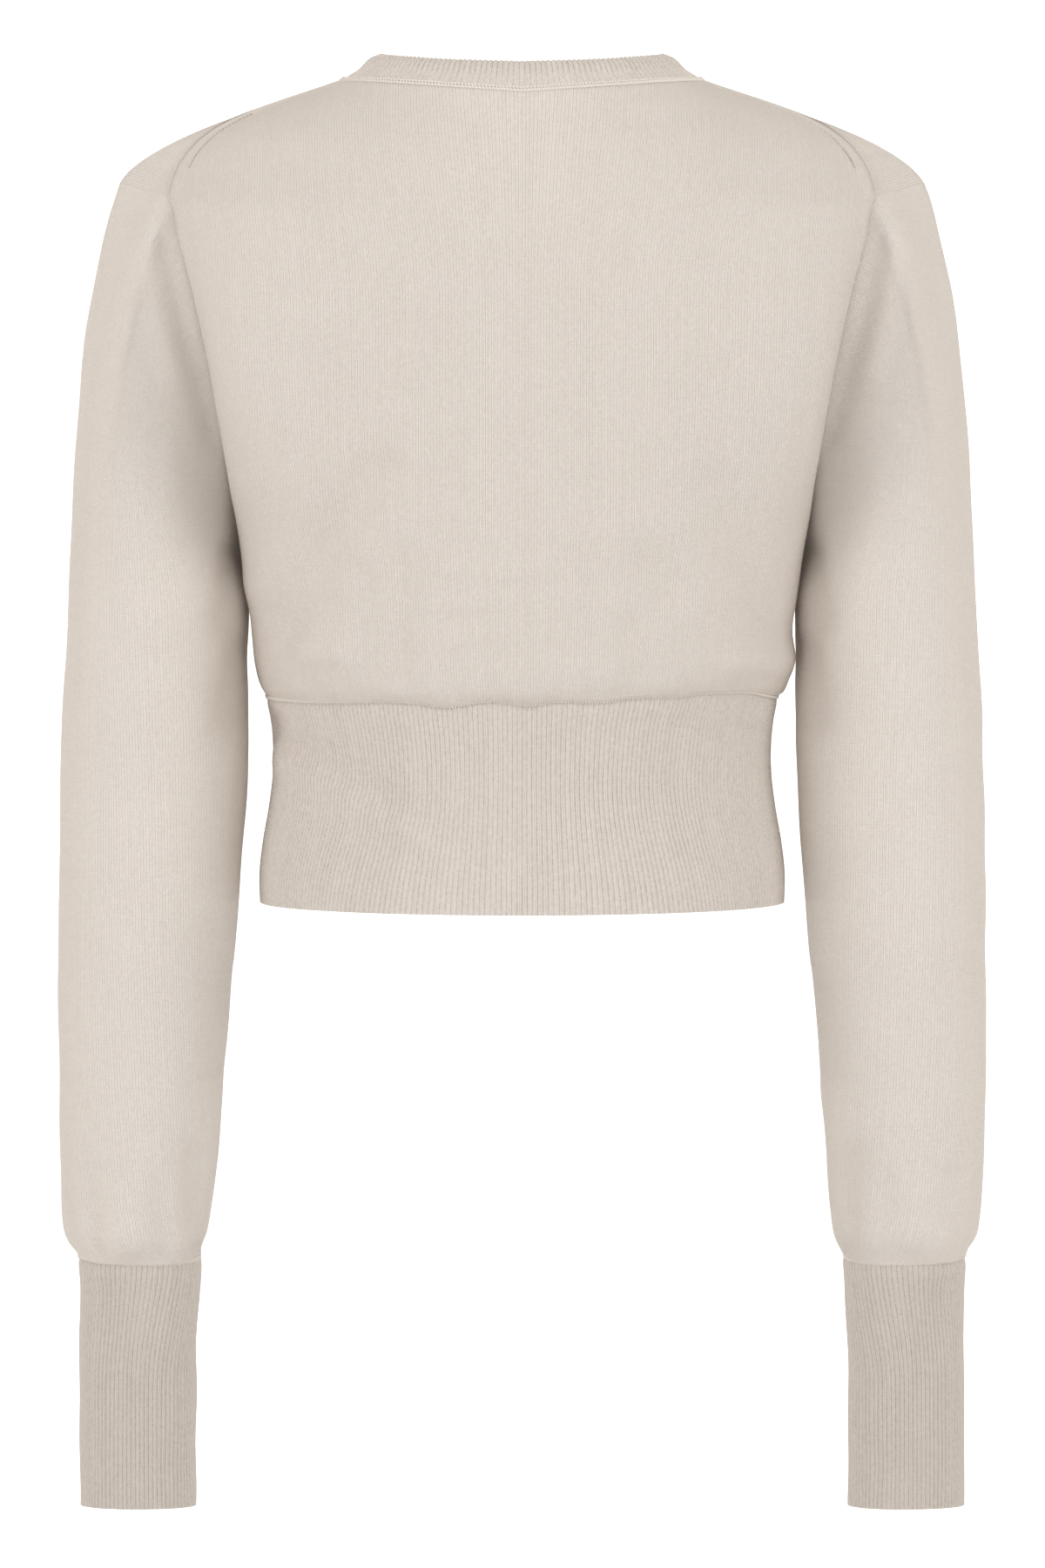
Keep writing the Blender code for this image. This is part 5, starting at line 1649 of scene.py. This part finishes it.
def cuff_piece(side, side_name, seed):
    """One cuff; side is 1 on the wearer's left and -1 on the right."""
    foot = CUFF_RINGS[-1].level
    levels = np.arange(CUFF_JOIN_HEIGHT - CUFF_ROW_STEP * 1.5, foot, -CUFF_ROW_STEP)
    levels = np.concatenate(([CUFF_JOIN_HEIGHT], CUFF_JOIN_HEIGHT - JOIN_STEPS[::-1], levels,
                             [foot]))
    fine = tube_points(CUFF_RINGS, levels, np.linspace(-math.pi, math.pi, CUFF_FINE_STEPS))
    fine[0, :, 2] += JOIN_TUCK
    length = float(travelled(fine[len(fine) // 2])[-1])
    ribs = int(round(length / CUFF_PITCH))
    grid = leaning_tube(fine, ribs * RIB_CUTS)
    normals = tube_normals(grid)
    from_top = CUFF_JOIN_HEIGHT - grid[..., 2]
    fade = soft_step(from_top, 0.0, CUFF_FOLD_FADE)
    raised = faced_folds("cuff", grid, ring_centres(grid))
    raised = (raised + CUFF_UNEVEN * soft_waves(grid, CUFF_WAVE, seed)) * fade
    grid = sag_join(grid + normals * (raised + rib_swell(from_top))[..., None], normals)
    flip = np.array((side, 1.0, 1.0))
    piece = rib_piece(f"cuff_{side_name}_rib", grid * flip, normals * flip, ribs,
                      rib_strength(from_top), CUFF_KNIT_PAINTED_SHADE, closed=True)
    keep(piece, [f"cuff_{side_name}"])


cuff_piece(1, "left", 81)
cuff_piece(-1, "right", 87)

# %% [markdown]
# ## The neckband
#
# The neckband is a narrow strip of rib, linked to the neck edge stitch by stitch. Below its ribs
# it shows a plain strip and the chain of the linking. It leans in towards the neck as it rises,
# most of all over the shoulders, and the table gives that lean by the way each place faces.

# %% The neckband
NECK_LEANS = make_table(
    "Lean", "facing lean rise",
    (0, 0.0090, 0.0130),
    (40, 0.0108, 0.0112),
    (62, 0.0150, 0.0112),
    (85, 0.0212, 0.0120),
    (130, 0.0140, 0.0140),
    (180, 0.0090, 0.0160),
)
NECK_CENTRE = np.array((0.0, -0.014, 0.0))
NECK_PITCH = 0.0029
NECK_ROWS = 14
NECK_RIB_DEPTH = 0.0008
NECK_RIB_SHARPNESS = 0.7
# In shares of the band's width: where the ribs begin, where they are full, and where its swell is.
RIBS_START = 0.40
RIBS_FULL = 0.54
NECK_SWELL_REACH = 0.25
# How far in and how far up the band has come at each third of its width.
NECK_THIRDS = np.arange(4.0)
NECK_REACH = np.array((0.0, 0.38, 0.68, 1.0))
NECK_CLIMB = np.array((0.0, 0.30, 0.78, 1.0))

back_top = back_grid[-1, back_middle:]
front_top = front_half[front_rows >= NECK_FIRST - 1e-6, 0][::-1]
neck_half = np.concatenate((back_top, front_top[1:]))
neck_line = np.concatenate((mirror(neck_half[:0:-1]), neck_half))
neck_length = float(travelled(neck_line)[-1])
neck_ribs = int(round(neck_length / NECK_PITCH))
neck_line = even_columns(neck_line[None], neck_ribs * RIB_CUTS)[0]


def neck_row(line, share):
    """The neck seam's line moved part of the way up the neckband."""
    flat = line * np.array((1.0, 1.0, 0.0)) - NECK_CENTRE
    facing = np.degrees(np.arctan2(np.abs(flat[:, 0]), flat[:, 1]))
    lean = between(column(NECK_LEANS, "facing"), column(NECK_LEANS, "lean"), facing)
    rise = between(column(NECK_LEANS, "facing"), column(NECK_LEANS, "rise"), facing)
    reach = between(NECK_THIRDS, NECK_REACH, share * 3)[0]
    climb = between(NECK_THIRDS, NECK_CLIMB, share * 3)[0]
    moved = line - unit(flat) * (lean * reach)[:, None]
    moved[:, 2] += rise * climb
    return moved


neck_shares = np.linspace(0.0, 1.0, NECK_ROWS + 1)
neck_grid = np.array([neck_row(neck_line, share) for share in neck_shares])
neck_normals = grid_normals(neck_grid, inside=NECK_CENTRE)
neck_strength = soft_step(neck_shares, RIBS_START, RIBS_FULL)[:, None]
neck_lift = RIB_SWELL * soft_step(neck_shares, 0.0, NECK_SWELL_REACH)
neck_grid = neck_grid + neck_normals * neck_lift[:, None, None]
neckband = rib_piece("neckband_rib", neck_grid, neck_normals, neck_ribs, neck_strength, NECK_KNIT,
                     NECK_RIB_DEPTH, NECK_RIB_SHARPNESS)
keep(neckband, ["neckband"])
print("neckband length mm:", round(neck_length * 1000), "ribs:", neck_ribs)

# %% [markdown]
# ## The button bands
#
# Two ribbed strips close the front, the wearer's right over the left. Their ribs run up the front.
# Each strip follows the front's profile from the hem to the top of the neckband. The upper one
# lies one millimetre proud, so that its edges cast the thin shadow that shows the overlap.

# %% The bands
BAND_LIFT = 0.0010
UNDER_LIFT = -0.0013
BAND_RIBS = 9
BAND_RIB_DEPTH = 0.0005
BAND_STEP = 0.0035
BAND_FINE_STEPS = 300
BAND_COLLAR = (0.33, 0.66, 1.0)
BAND_EDGE_ROLL = 0.0006
BAND_ROLL_START = 0.86
BAND_UNEVEN = 0.0002
BAND_WAVE = 0.030


def front_profile():
    """The front's midline from the hem to the neckband's top edge, evenly spaced."""
    points = [(0.0, ring.front_y, ring.height) for ring in RINGS]
    points += [(0.0, row.front_y, row.front_z) for row in FRONT_ARM_ROWS]
    neck = np.array(FRONT_NECK_ROWS[0].neck) * np.array((0.0, 1.0, 1.0))
    line = np.concatenate((points, [neck]))
    run = travelled(line)
    fine = between(run, line, np.linspace(0.0, run[-1], BAND_FINE_STEPS))
    collar = np.concatenate([neck_row(neck[None], share) for share in BAND_COLLAR])
    fine = np.concatenate((fine, collar))
    count = int(round(travelled(fine)[-1] / BAND_STEP))
    return even_columns(fine[None], count)[0]


def band_piece(name, node, lift, seed):
    """One front band, at the given height over the front; gives back its line and its facing."""
    profile = front_profile()
    along = unit(np.gradient(profile, axis=0))
    outward = np.stack((along[:, 0], -along[:, 2], along[:, 1]), axis=1)
    across = np.linspace(-1.0, 1.0, BAND_RIBS * RIB_CUTS + 1)
    grid = np.repeat(profile[:, None], len(across), axis=1)
    grid[..., 0] = across * BAND_HALF_WIDTH
    normals = np.repeat(outward[:, None], len(across), axis=1)
    roll = BAND_EDGE_ROLL * soft_step(np.abs(across), BAND_ROLL_START, 1.0)
    rise = lift + RIB_SWELL / 2 + BAND_UNEVEN * soft_waves(grid, BAND_WAVE, seed) - roll
    grid = grid + normals * rise[..., None]
    piece = rib_piece(name, grid, normals, BAND_RIBS, 1.0, RIB_KNIT, BAND_RIB_DEPTH)
    keep(piece, [node])
    return profile, outward


band_piece("front_band_under", "band_under", UNDER_LIFT, 91)
band_line, band_outward = band_piece("front_band_over", "band_over", BAND_LIFT, 93)

# %% [markdown]
# ## The buttons
#
# Seven small shell-like buttons have a raised rim, a shallow dish and four holes. The button is
# turned: its outline is spun about its axis. The holes are cut with a Boolean, which leaves clean
# walls for the thread to pass through.

# %% The button's shape
BUTTON_OUTLINE = make_table(
    "Turning", "radius lift",
    (0.00, 0.50), (0.30, 0.52), (0.55, 0.60), (0.66, 0.74), (0.76, 0.95), (0.86, 1.00),
    (0.95, 0.90), (1.00, 0.62), (0.97, 0.30), (0.86, 0.08), (0.70, 0.00), (0.00, 0.00),
)
BUTTON_RADIUS = 0.0056
BUTTON_THICKNESS = 0.0026
BUTTON_CLEARANCE = 0.0006
BUTTON_SIDES = 48
BUTTON_SHARP_ANGLE = math.radians(40)
HOLE_RADIUS = 0.00062
HOLE_OFFSET = 0.00125
HOLE_SIDES = 16
PEG_FOOT = -0.001
PEG_TOP = 0.004
BUTTON_TOP_HEIGHT = -0.0760
BUTTON_LOW_HEIGHT = -0.362
BUTTON_COUNT = 7


def turned_mesh(name, outline, sides):
    """Spin an outline about +Z; its first and last points lie on the axis."""
    vertices = [(0.0, 0.0, outline[0][1])]
    turns = np.linspace(0.0, 2 * math.pi, sides, endpoint=False)
    for radius, lift in outline[1:-1]:
        vertices += [(radius * math.cos(turn), radius * math.sin(turn), lift) for turn in turns]
    vertices.append((0.0, 0.0, outline[-1][1]))
    faces = [(0, 1 + side, 1 + (side + 1) % sides) for side in range(sides)]
    for ring in range(len(outline) - 3):
        for side in range(sides):
            near, far = 1 + ring * sides + side, 1 + ring * sides + (side + 1) % sides
            faces.append((near, near + sides, far + sides, far))
    last = len(vertices) - 1
    start = 1 + (len(outline) - 3) * sides
    faces += [(last, start + (side + 1) % sides, start + side) for side in range(sides)]
    return new_mesh(name, vertices, faces)


def hole_mesh(name, places, radius, low, high, sides):
    """Upright pegs to cut with."""
    vertices, faces = [], []
    for x, y in places:
        first = len(vertices)
        for level in (low, high):
            vertices += [(x + radius * math.cos(2 * math.pi * side / sides),
                          y + radius * math.sin(2 * math.pi * side / sides), level)
                         for side in range(sides)]
        faces.append(tuple(first + side for side in reversed(range(sides))))
        faces.append(tuple(first + sides + side for side in range(sides)))
        for side in range(sides):
            far = (side + 1) % sides
            faces.append((first + side, first + far, first + sides + far, first + sides + side))
    return new_mesh(name, vertices, faces)


# %% The button's shell
SHELL_CLOUD_SCALE = 260.0
SHELL_BAND_SCALE = 900.0


def shell_material():
    """Warm off-white shell: soft clouds of lighter colour under a smooth gloss."""
    nodes = Nodes("button_shell_gloss")
    cloud = nodes.noise(nodes.place(), SHELL_CLOUD_SCALE, 4.0, 0.6)
    band = nodes.noise(nodes.place(), SHELL_BAND_SCALE)
    tone = nodes.math("MULTIPLY_ADD", band, 0.25, nodes.math("MULTIPLY", cloud, 0.9))
    colour = nodes.ramp(tone, (0.600, 0.540, 0.450), (0.880, 0.850, 0.790))
    nodes.plug(colour, nodes.shader.inputs["Base Color"])
    nodes.plug(nodes.scale(cloud, 0.3, 0.7, 0.20, 0.34), nodes.shader.inputs["Roughness"])
    nodes.plug(nodes.bump(cloud, 0.00004, 0.3), nodes.shader.inputs["Normal"])
    set_inputs(nodes.shader, Coat_Weight=0.3, Coat_Roughness=0.12)
    return nodes.material


BUTTON_SHELL = shell_material()

# %% The pattern button
hole_places = [(x * HOLE_OFFSET, y * HOLE_OFFSET) for x in (-1, 1) for y in (-1, 1)]
outline = [(turning.radius * BUTTON_RADIUS, turning.lift * BUTTON_THICKNESS)
           for turning in BUTTON_OUTLINE]
button = add_object("button_pattern", turned_mesh("button_pattern", outline, BUTTON_SIDES))
pegs = add_object("button_pegs", hole_mesh("button_pegs", hole_places, HOLE_RADIUS,
                                           PEG_FOOT, PEG_TOP, HOLE_SIDES))
cut = button.modifiers.new("holes", "BOOLEAN")
cut.operation = "DIFFERENCE"
cut.object = pegs
cut.solver = "EXACT"
bake(button)
bpy.data.objects.remove(pegs, do_unlink=True)
print("button triangles:", triangles(button))

# %% [markdown]
# ## Thread
#
# Each button is sewn on with two loops of thread through its holes. A strand is a ring of points
# carried along a path, which gives a UV map that a twist can follow. The linking and the marks
# further down are strands too, in the same yarn or in a darker one that is painted shade.

# %% Yarn and strands
THREAD_RADIUS = 0.00028
TWIST_HEIGHT = 0.00012
THREAD_FUZZ_SCALE = 2600.0
THREAD_SIDES = 8
THREAD_POINTS = 20
THREAD_SPREAD = 0.00022
THREAD_MIDDLE = 0.0006
THREAD_RISE = 0.00125
# A direction that no strand runs along, to start its rings from.
ANY_WAY = (0.31, 0.17, 0.93)


def yarn_material(name, shade_and_deep_tone, light, strands):
    """Twisted thread: the UV map's across turns round it and along runs down it."""
    nodes = Nodes(name)
    across, along = nodes.uv()
    twist = nodes.math("FRACT", nodes.math("MULTIPLY_ADD", along, strands, across))
    ply = nodes.math("SINE", nodes.math("MULTIPLY", twist, math.pi))
    fuzz = nodes.noise(nodes.place(), THREAD_FUZZ_SCALE, 3.0, 0.6)
    # The grooves between the plies get the dark colour: painted shade.
    tone = nodes.math("MULTIPLY_ADD", ply, 0.6, nodes.math("MULTIPLY", fuzz, 0.4))
    return yarn_finish(nodes, tone, shade_and_deep_tone, light, nodes.bump(ply, TWIST_HEIGHT, 0.6))


LINKING_YARN = yarn_material("linking_yarn", (0.640, 0.575, 0.510), (0.950, 0.890, 0.820), 1.0)
# The fashioning marks' yarn is darker: painted shade for the hollows at the marks.
PAINTED_SHADE_YARN = yarn_material("fashioning_yarn", (0.420, 0.360, 0.305), (0.680, 0.610, 0.540), 1.0)


def strand(path, radius, sides, closed=False):
    """Points, faces and twist-ready UV corners of a round strand along a path."""
    path = np.asarray(path, dtype=float)
    count = len(path)
    if closed:
        along = unit(np.roll(path, -1, axis=0) - np.roll(path, 1, axis=0))
    else:
        along = unit(np.gradient(path, axis=0))
    side_way = unit(np.cross(along, ANY_WAY))
    up_way = np.cross(side_way, along)
    turns = np.linspace(0.0, 2 * math.pi, sides, endpoint=False)[None, :, None]
    ring = np.cos(turns) * side_way[:, None] + np.sin(turns) * up_way[:, None]
    vertices = path[:, None] + ring * radius
    faces, uvs = [], []
    for place in range(count if closed else count - 1):
        following = (place + 1) % count
        for side in range(sides):
            far = (side + 1) % sides
            faces.append((place * sides + side, place * sides + far,
                          following * sides + far, following * sides + side))
            uvs += [(side / sides, place / 2), ((side + 1) / sides, place / 2),
                    ((side + 1) / sides, (place + 1) / 2), (side / sides, (place + 1) / 2)]
    if not closed:
        for end, order in ((0, 1), (count - 1, -1)):
            ids = [end * sides + side for side in range(sides)]
            faces.append(tuple(ids[::-1][::order]))
            uvs += [(0.0, 0.0)] * sides
    return vertices.reshape(-1, 3).tolist(), faces, uvs


def joined(name, strands, material):
    """One mesh of several strands."""
    points, faces, uvs = [], [], []
    for strand_points, strand_faces, strand_uvs in strands:
        first = len(points)
        points += strand_points
        faces += [tuple(first + index for index in face) for face in strand_faces]
        uvs += strand_uvs
    whole = new_mesh(name, points, faces)
    layer = whole.uv_layers.new(name="knit")
    layer.data.foreach_set("uv", np.array(uvs, dtype=np.float32).reshape(-1))
    whole.materials.append(material)
    whole.shade_smooth()
    return whole


# %% The thread's loops


def thread_loops():
    """Two loops of thread, each down one pair of holes and over the bridge between them."""
    turns = np.linspace(0.0, 2 * math.pi, THREAD_POINTS, endpoint=False)
    loops = []
    for x in (-HOLE_OFFSET, HOLE_OFFSET):
        for spread in (-THREAD_SPREAD, THREAD_SPREAD):
            y = np.cos(turns) * HOLE_OFFSET
            z = THREAD_MIDDLE + np.sin(turns) * THREAD_RISE
            path = np.stack((np.full(len(turns), x + spread), y, z), axis=1)
            loops.append(strand(path, THREAD_RADIUS, THREAD_SIDES, closed=True))
    return loops


thread_pattern = joined("thread_pattern", thread_loops(), LINKING_YARN)

# %% [markdown]
# ## The buttons in their places
#
# The buttons stand at even heights on the upper band. Each is a copy of the pattern whose points
# are turned to face out of the cloth, because a finished piece's object stays at the origin.

# %% The buttons in their places
# Sewn by hand, each button is turned a few degrees its own way.
ROLL_STEP = 37
ROLL_RANGE = 19
button_run = np.linspace(BUTTON_TOP_HEIGHT, BUTTON_LOW_HEIGHT, BUTTON_COUNT)


def carried(name, mesh, origin, facing, roll):
    """A copy of a mesh with its points carried to a place on the band."""
    level = np.array((1.0, 0.0, 0.0))
    across = level * math.cos(roll) + np.cross(facing, level) * math.sin(roll)
    up = np.cross(facing, across)
    turn = np.stack((across, up, facing), axis=1)
    copy = mesh.copy()
    copy.name = name
    points = np.empty(len(copy.vertices) * 3)
    copy.vertices.foreach_get("co", points)
    moved = points.reshape(-1, 3) @ turn.T + origin
    copy.vertices.foreach_set("co", moved.reshape(-1))
    copy.update()
    return add_object(name, copy)


button.data.materials.clear()
button.data.materials.append(BUTTON_SHELL)
button.data.shade_smooth()
button.data.set_sharp_from_angle(angle=BUTTON_SHARP_ANGLE)
for number, height in enumerate(button_run, start=1):
    middle_y = np.interp(height, band_line[:, 2], band_line[:, 1])
    facing = unit([np.interp(height, band_line[:, 2], band_outward[:, axis]) for axis in range(3)])
    origin = np.array((0.0, middle_y, height)) + facing * (BAND_LIFT + BUTTON_CLEARANCE)
    roll = math.radians(number * ROLL_STEP % ROLL_RANGE - ROLL_RANGE // 2)
    disc = carried(f"shirt_button_{number}", button.data, origin, facing, roll)
    keep(disc, [f"button_{number}"])
    thread = carried(f"button_thread_{number}", thread_pattern, origin, facing, roll)
    keep(thread, [])
bpy.data.objects.remove(button, do_unlink=True)

# %% [markdown]
# ## Stitches along a seam
#
# Linking and sewing repeat one small stitch at even steps, so they are made with Geometry Nodes
# too. A row of points carries two directions each, along the seam and out of the cloth. The
# tree sets one stitch on every point, turned to both directions, gives each a slightly different
# size from a fixed seed, and realizes the result into plain mesh.

# %% The stitch tree
STITCH_SIDES = 5
STITCH_UNEVENNESS = 0.12


def stitch_tree():
    """Geometry Nodes that set a stitch on every point, turned to its two directions."""
    tree = Tree("stitches on points", Stitch="Object", Size="Float", Unevenness="Float", Seed="Int")

    def align(axis, label, rotation=None, pivot="AUTO"):
        """Turn an axis of the stitch to a direction stored on the points."""
        node = tree.add("FunctionNodeAlignRotationToVector")
        node.axis = axis
        node.pivot_axis = pivot
        tree.link(tree.attribute(label, "FLOAT_VECTOR"), node.inputs["Vector"])
        if rotation is not None:
            tree.link(rotation, node.inputs["Rotation"])
        return node.outputs[0]

    turned = align("Z", "outward", align("X", "along"), "X")
    source = tree.add("GeometryNodeObjectInfo")
    tree.link(tree.inputs["Stitch"], source.inputs["Object"])
    chance = tree.add("FunctionNodeRandomValue")
    chance.data_type = "FLOAT"
    low, high = [socket for socket in chance.inputs if socket.type == "VALUE"][:2]
    tree.link(tree.math("SUBTRACT", 1.0, tree.inputs["Unevenness"]), low)
    high.default_value = 1.0
    tree.link(tree.inputs["Seed"], chance.inputs["Seed"])
    share = [socket for socket in chance.outputs if socket.type == "VALUE"][0]
    place = tree.add("GeometryNodeInstanceOnPoints")
    tree.link(tree.inputs["Geometry"], place.inputs["Points"])
    tree.link(source.outputs["Geometry"], place.inputs["Instance"])
    tree.link(turned, place.inputs["Rotation"])
    tree.link(tree.math("MULTIPLY", share, tree.inputs["Size"]), place.inputs["Scale"])
    tree.close(place.outputs[0])
    return tree


STITCH_TREE = stitch_tree()
print("stitch inputs:", STITCH_TREE.sockets)

# %% [markdown]
# ## A row of stitches
#
# The stitch to repeat is a hidden pattern object, a few strands of five-sided yarn, because
# hundreds of copies must stay light. It is removed once all its rows are plain mesh.

# %% Patterns and rows


def stitch_pattern(name, paths, radius):
    """A stitch to repeat, one unit long along X, with +Z out of the cloth."""
    strands = [strand(path, radius, STITCH_SIDES) for path in paths]
    thing = add_object(name, joined(name, strands, LINKING_YARN))
    thing.hide_render = True
    return thing


def seam_frame(line, normals, spacing):
    """Even points along a line, with the line's direction and the cloth's outward direction."""
    run = travelled(line)
    count = int(round(run[-1] / spacing))
    places = (np.arange(count) + 0.5) * run[-1] / count
    points = read_line(places, run, line)
    return points, unit(np.gradient(points, axis=0)), unit(read_line(places, run, normals))


def stitch_row(name, line, normals, spacing, lift, pattern, size, paint, seed,
               unevenness=STITCH_UNEVENNESS):
    """Set stitches along a seam line, lifted off the cloth, and turn them into a plain mesh."""
    points, along, outward = seam_frame(line, normals, spacing)
    mesh = new_mesh(name, (points + outward * lift).tolist(), [])
    for label, vectors in (("along", along), ("outward", outward)):
        layer = mesh.attributes.new(label, "FLOAT_VECTOR", "POINT")
        layer.data.foreach_set("vector", vectors.astype(np.float32).reshape(-1))
    thing = add_object(name, mesh)
    STITCH_TREE.put_on(thing, "stitches", Stitch=pattern, Size=size, Unevenness=unevenness,
                       Seed=seed, Paint=paint)
    bake(thing)
    thing.data.shade_smooth()
    return keep(thing, [])


# %% [markdown]
# ## The linking chain below the neckband
#
# A linking machine joins the neckband with a chain stitch that stays in sight as a light braided
# line. One link is a narrow loop, open to the front, and each next link starts inside the last.

# %% The linking chain
CHAIN_STEP = 0.00168
CHAIN_SIZE = 0.00265
CHAIN_LIFT = 0.0001
# One link, in its own length.
LINK_OPENING = 20
LINK_POINTS = 9
LINK_START = -0.10
LINK_HALF_LENGTH = 0.72
LINK_HALF_WIDTH = 0.46
LINK_TWIST = 0.10
LINK_RADIUS = 0.23


def chain_link():
    """One loop of the chain, about one unit long, lying in the XY plane."""
    turn = np.linspace(math.radians(LINK_OPENING), math.radians(360 - LINK_OPENING), LINK_POINTS)
    return np.stack((LINK_START + LINK_HALF_LENGTH * np.cos(turn), LINK_HALF_WIDTH * np.sin(turn),
                     LINK_TWIST * np.sin(turn * 2)), axis=1)


chain = stitch_pattern("chain_pattern", [chain_link()], LINK_RADIUS)
chain_line = neck_grid[0] + neck_normals[0] * CHAIN_LIFT
stitch_row("linking_chain", chain_line, neck_normals[0], CHAIN_STEP, 0.0, chain, CHAIN_SIZE,
           LINKING_YARN, 5)

# %% [markdown]
# ## Fashioning marks
#
# Where the machine narrows the back at the shoulder it moves several stitches inwards at once,
# and each move leaves a small dark mark eight millimetres from the seam: a little hollow, dark with
# the shade in it. The marks run in a line that follows the shoulder. Each is modelled as two short
# crossed yarns in a darker colour, which is painted shade for the hollow.

# %% The marks on the shoulders
MARK_COUNT = 23
MARK_START = 0.008
MARK_REACH = 0.056
MARK_SIZE = 0.0014
MARK_UNEVENNESS = 0.5
MARK_YARN = 0.16
SEAM_LIFT = 0.0001


def shoulder_marks():
    """Points on the back panel, a fixed distance inside its shoulder edge."""
    half = back_grid[:, back_middle:]
    normals = back_normals[:, back_middle:]
    points, ways = [], []
    for number in np.flatnonzero(back_rows >= RING_LAST + BACK_CORNER + 0.5):
        run = travelled(half[number])
        place = run[-1:] - SELVEDGE
        points.append(read_line(place, run, half[number])[0])
        ways.append(read_line(place, run, normals[number])[0])
    return np.array(points), np.array(ways)


mark_line, mark_out = shoulder_marks()
mark_run = travelled(mark_line)
marked = (mark_run > MARK_START) & (mark_run < MARK_REACH)
mark_line, mark_out = mark_line[marked], mark_out[marked]
mark_step = travelled(mark_line)[-1] / MARK_COUNT
cross = stitch_pattern("mark_pattern", [
    [(-0.50, -0.16, 0.02), (-0.15, -0.05, 0.14), (0.20, 0.10, 0.12), (0.50, 0.26, 0.00)],
    [(-0.42, 0.22, 0.00), (-0.08, 0.10, 0.10), (0.22, -0.10, 0.10), (0.46, -0.24, 0.00)],
], MARK_YARN)
for side, side_name in ((1, "left"), (-1, "right")):
    flip = np.array((side, 1.0, 1.0))
    stitch_row(f"fashioning_marks_{side_name}", mark_line * flip, mark_out * flip, mark_step,
               SEAM_LIFT, cross, MARK_SIZE, PAINTED_SHADE_YARN, 11, MARK_UNEVENNESS)

# %% [markdown]
# ## The joins of hem and cuffs
#
# The plain knit is linked to the ribs stitch by stitch as well. From outside this shows as a fine
# light ridge under the overhang of the cloth. Short upright loops, one for each wale above the
# join, sit on it.

# %% The join stitches
JOIN_STEP = 0.00145
JOIN_DROP = 0.0002
CUFF_JOIN_INSET = 0.0003
JOIN_YARN = 0.21
loop = stitch_pattern("join_pattern", [
    [(-0.40, -0.55, 0.00), (-0.36, 0.10, 0.22), (0.00, 0.55, 0.26), (0.36, 0.10, 0.22),
     (0.40, -0.55, 0.00)],
], JOIN_YARN)


def body_join_line():
    """The rib join round the whole body, on the outer face, from band to band."""
    line = np.concatenate((front_edges["left"], back_grid[0, ::-1][1:],
                           front_edges["right"][::-1][1:]))
    axis = np.array((0.0, 0.0, JOIN_HEIGHT))
    out = unit((line - axis) * np.array((0.5, 1.0, 0.0)))
    return line, out


join_line, join_out = body_join_line()
join_line = join_line - np.array((0.0, 0.0, JOIN_DROP))
stitch_row("hem_join_stitches", join_line, join_out, JOIN_STEP, SEAM_LIFT, loop, JOIN_STEP,
           LINKING_YARN, 15)
for name, ring in (("left", sleeve_left[-1]), ("right", sleeve_right[-1])):
    ring = np.concatenate((ring, ring[:1]))
    out = unit((ring - ring[:-1].mean(axis=0)) * np.array((1.0, 1.0, 0.0)))
    stitch_row(f"cuff_join_stitches_{name}", ring, out, JOIN_STEP, -CUFF_JOIN_INSET, loop,
               JOIN_STEP, LINKING_YARN, 17)

for pattern in (chain, cross, loop):
    bpy.data.objects.remove(pattern, do_unlink=True)

# %% [markdown]
# ## Finishing
#
# The triangles of every piece that is shown are counted.

# %% Finish
total = sum(triangles(thing) for thing in bpy.data.objects
            if thing.type == "MESH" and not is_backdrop(thing) and not thing.hide_render)
print("shown triangles:", total)
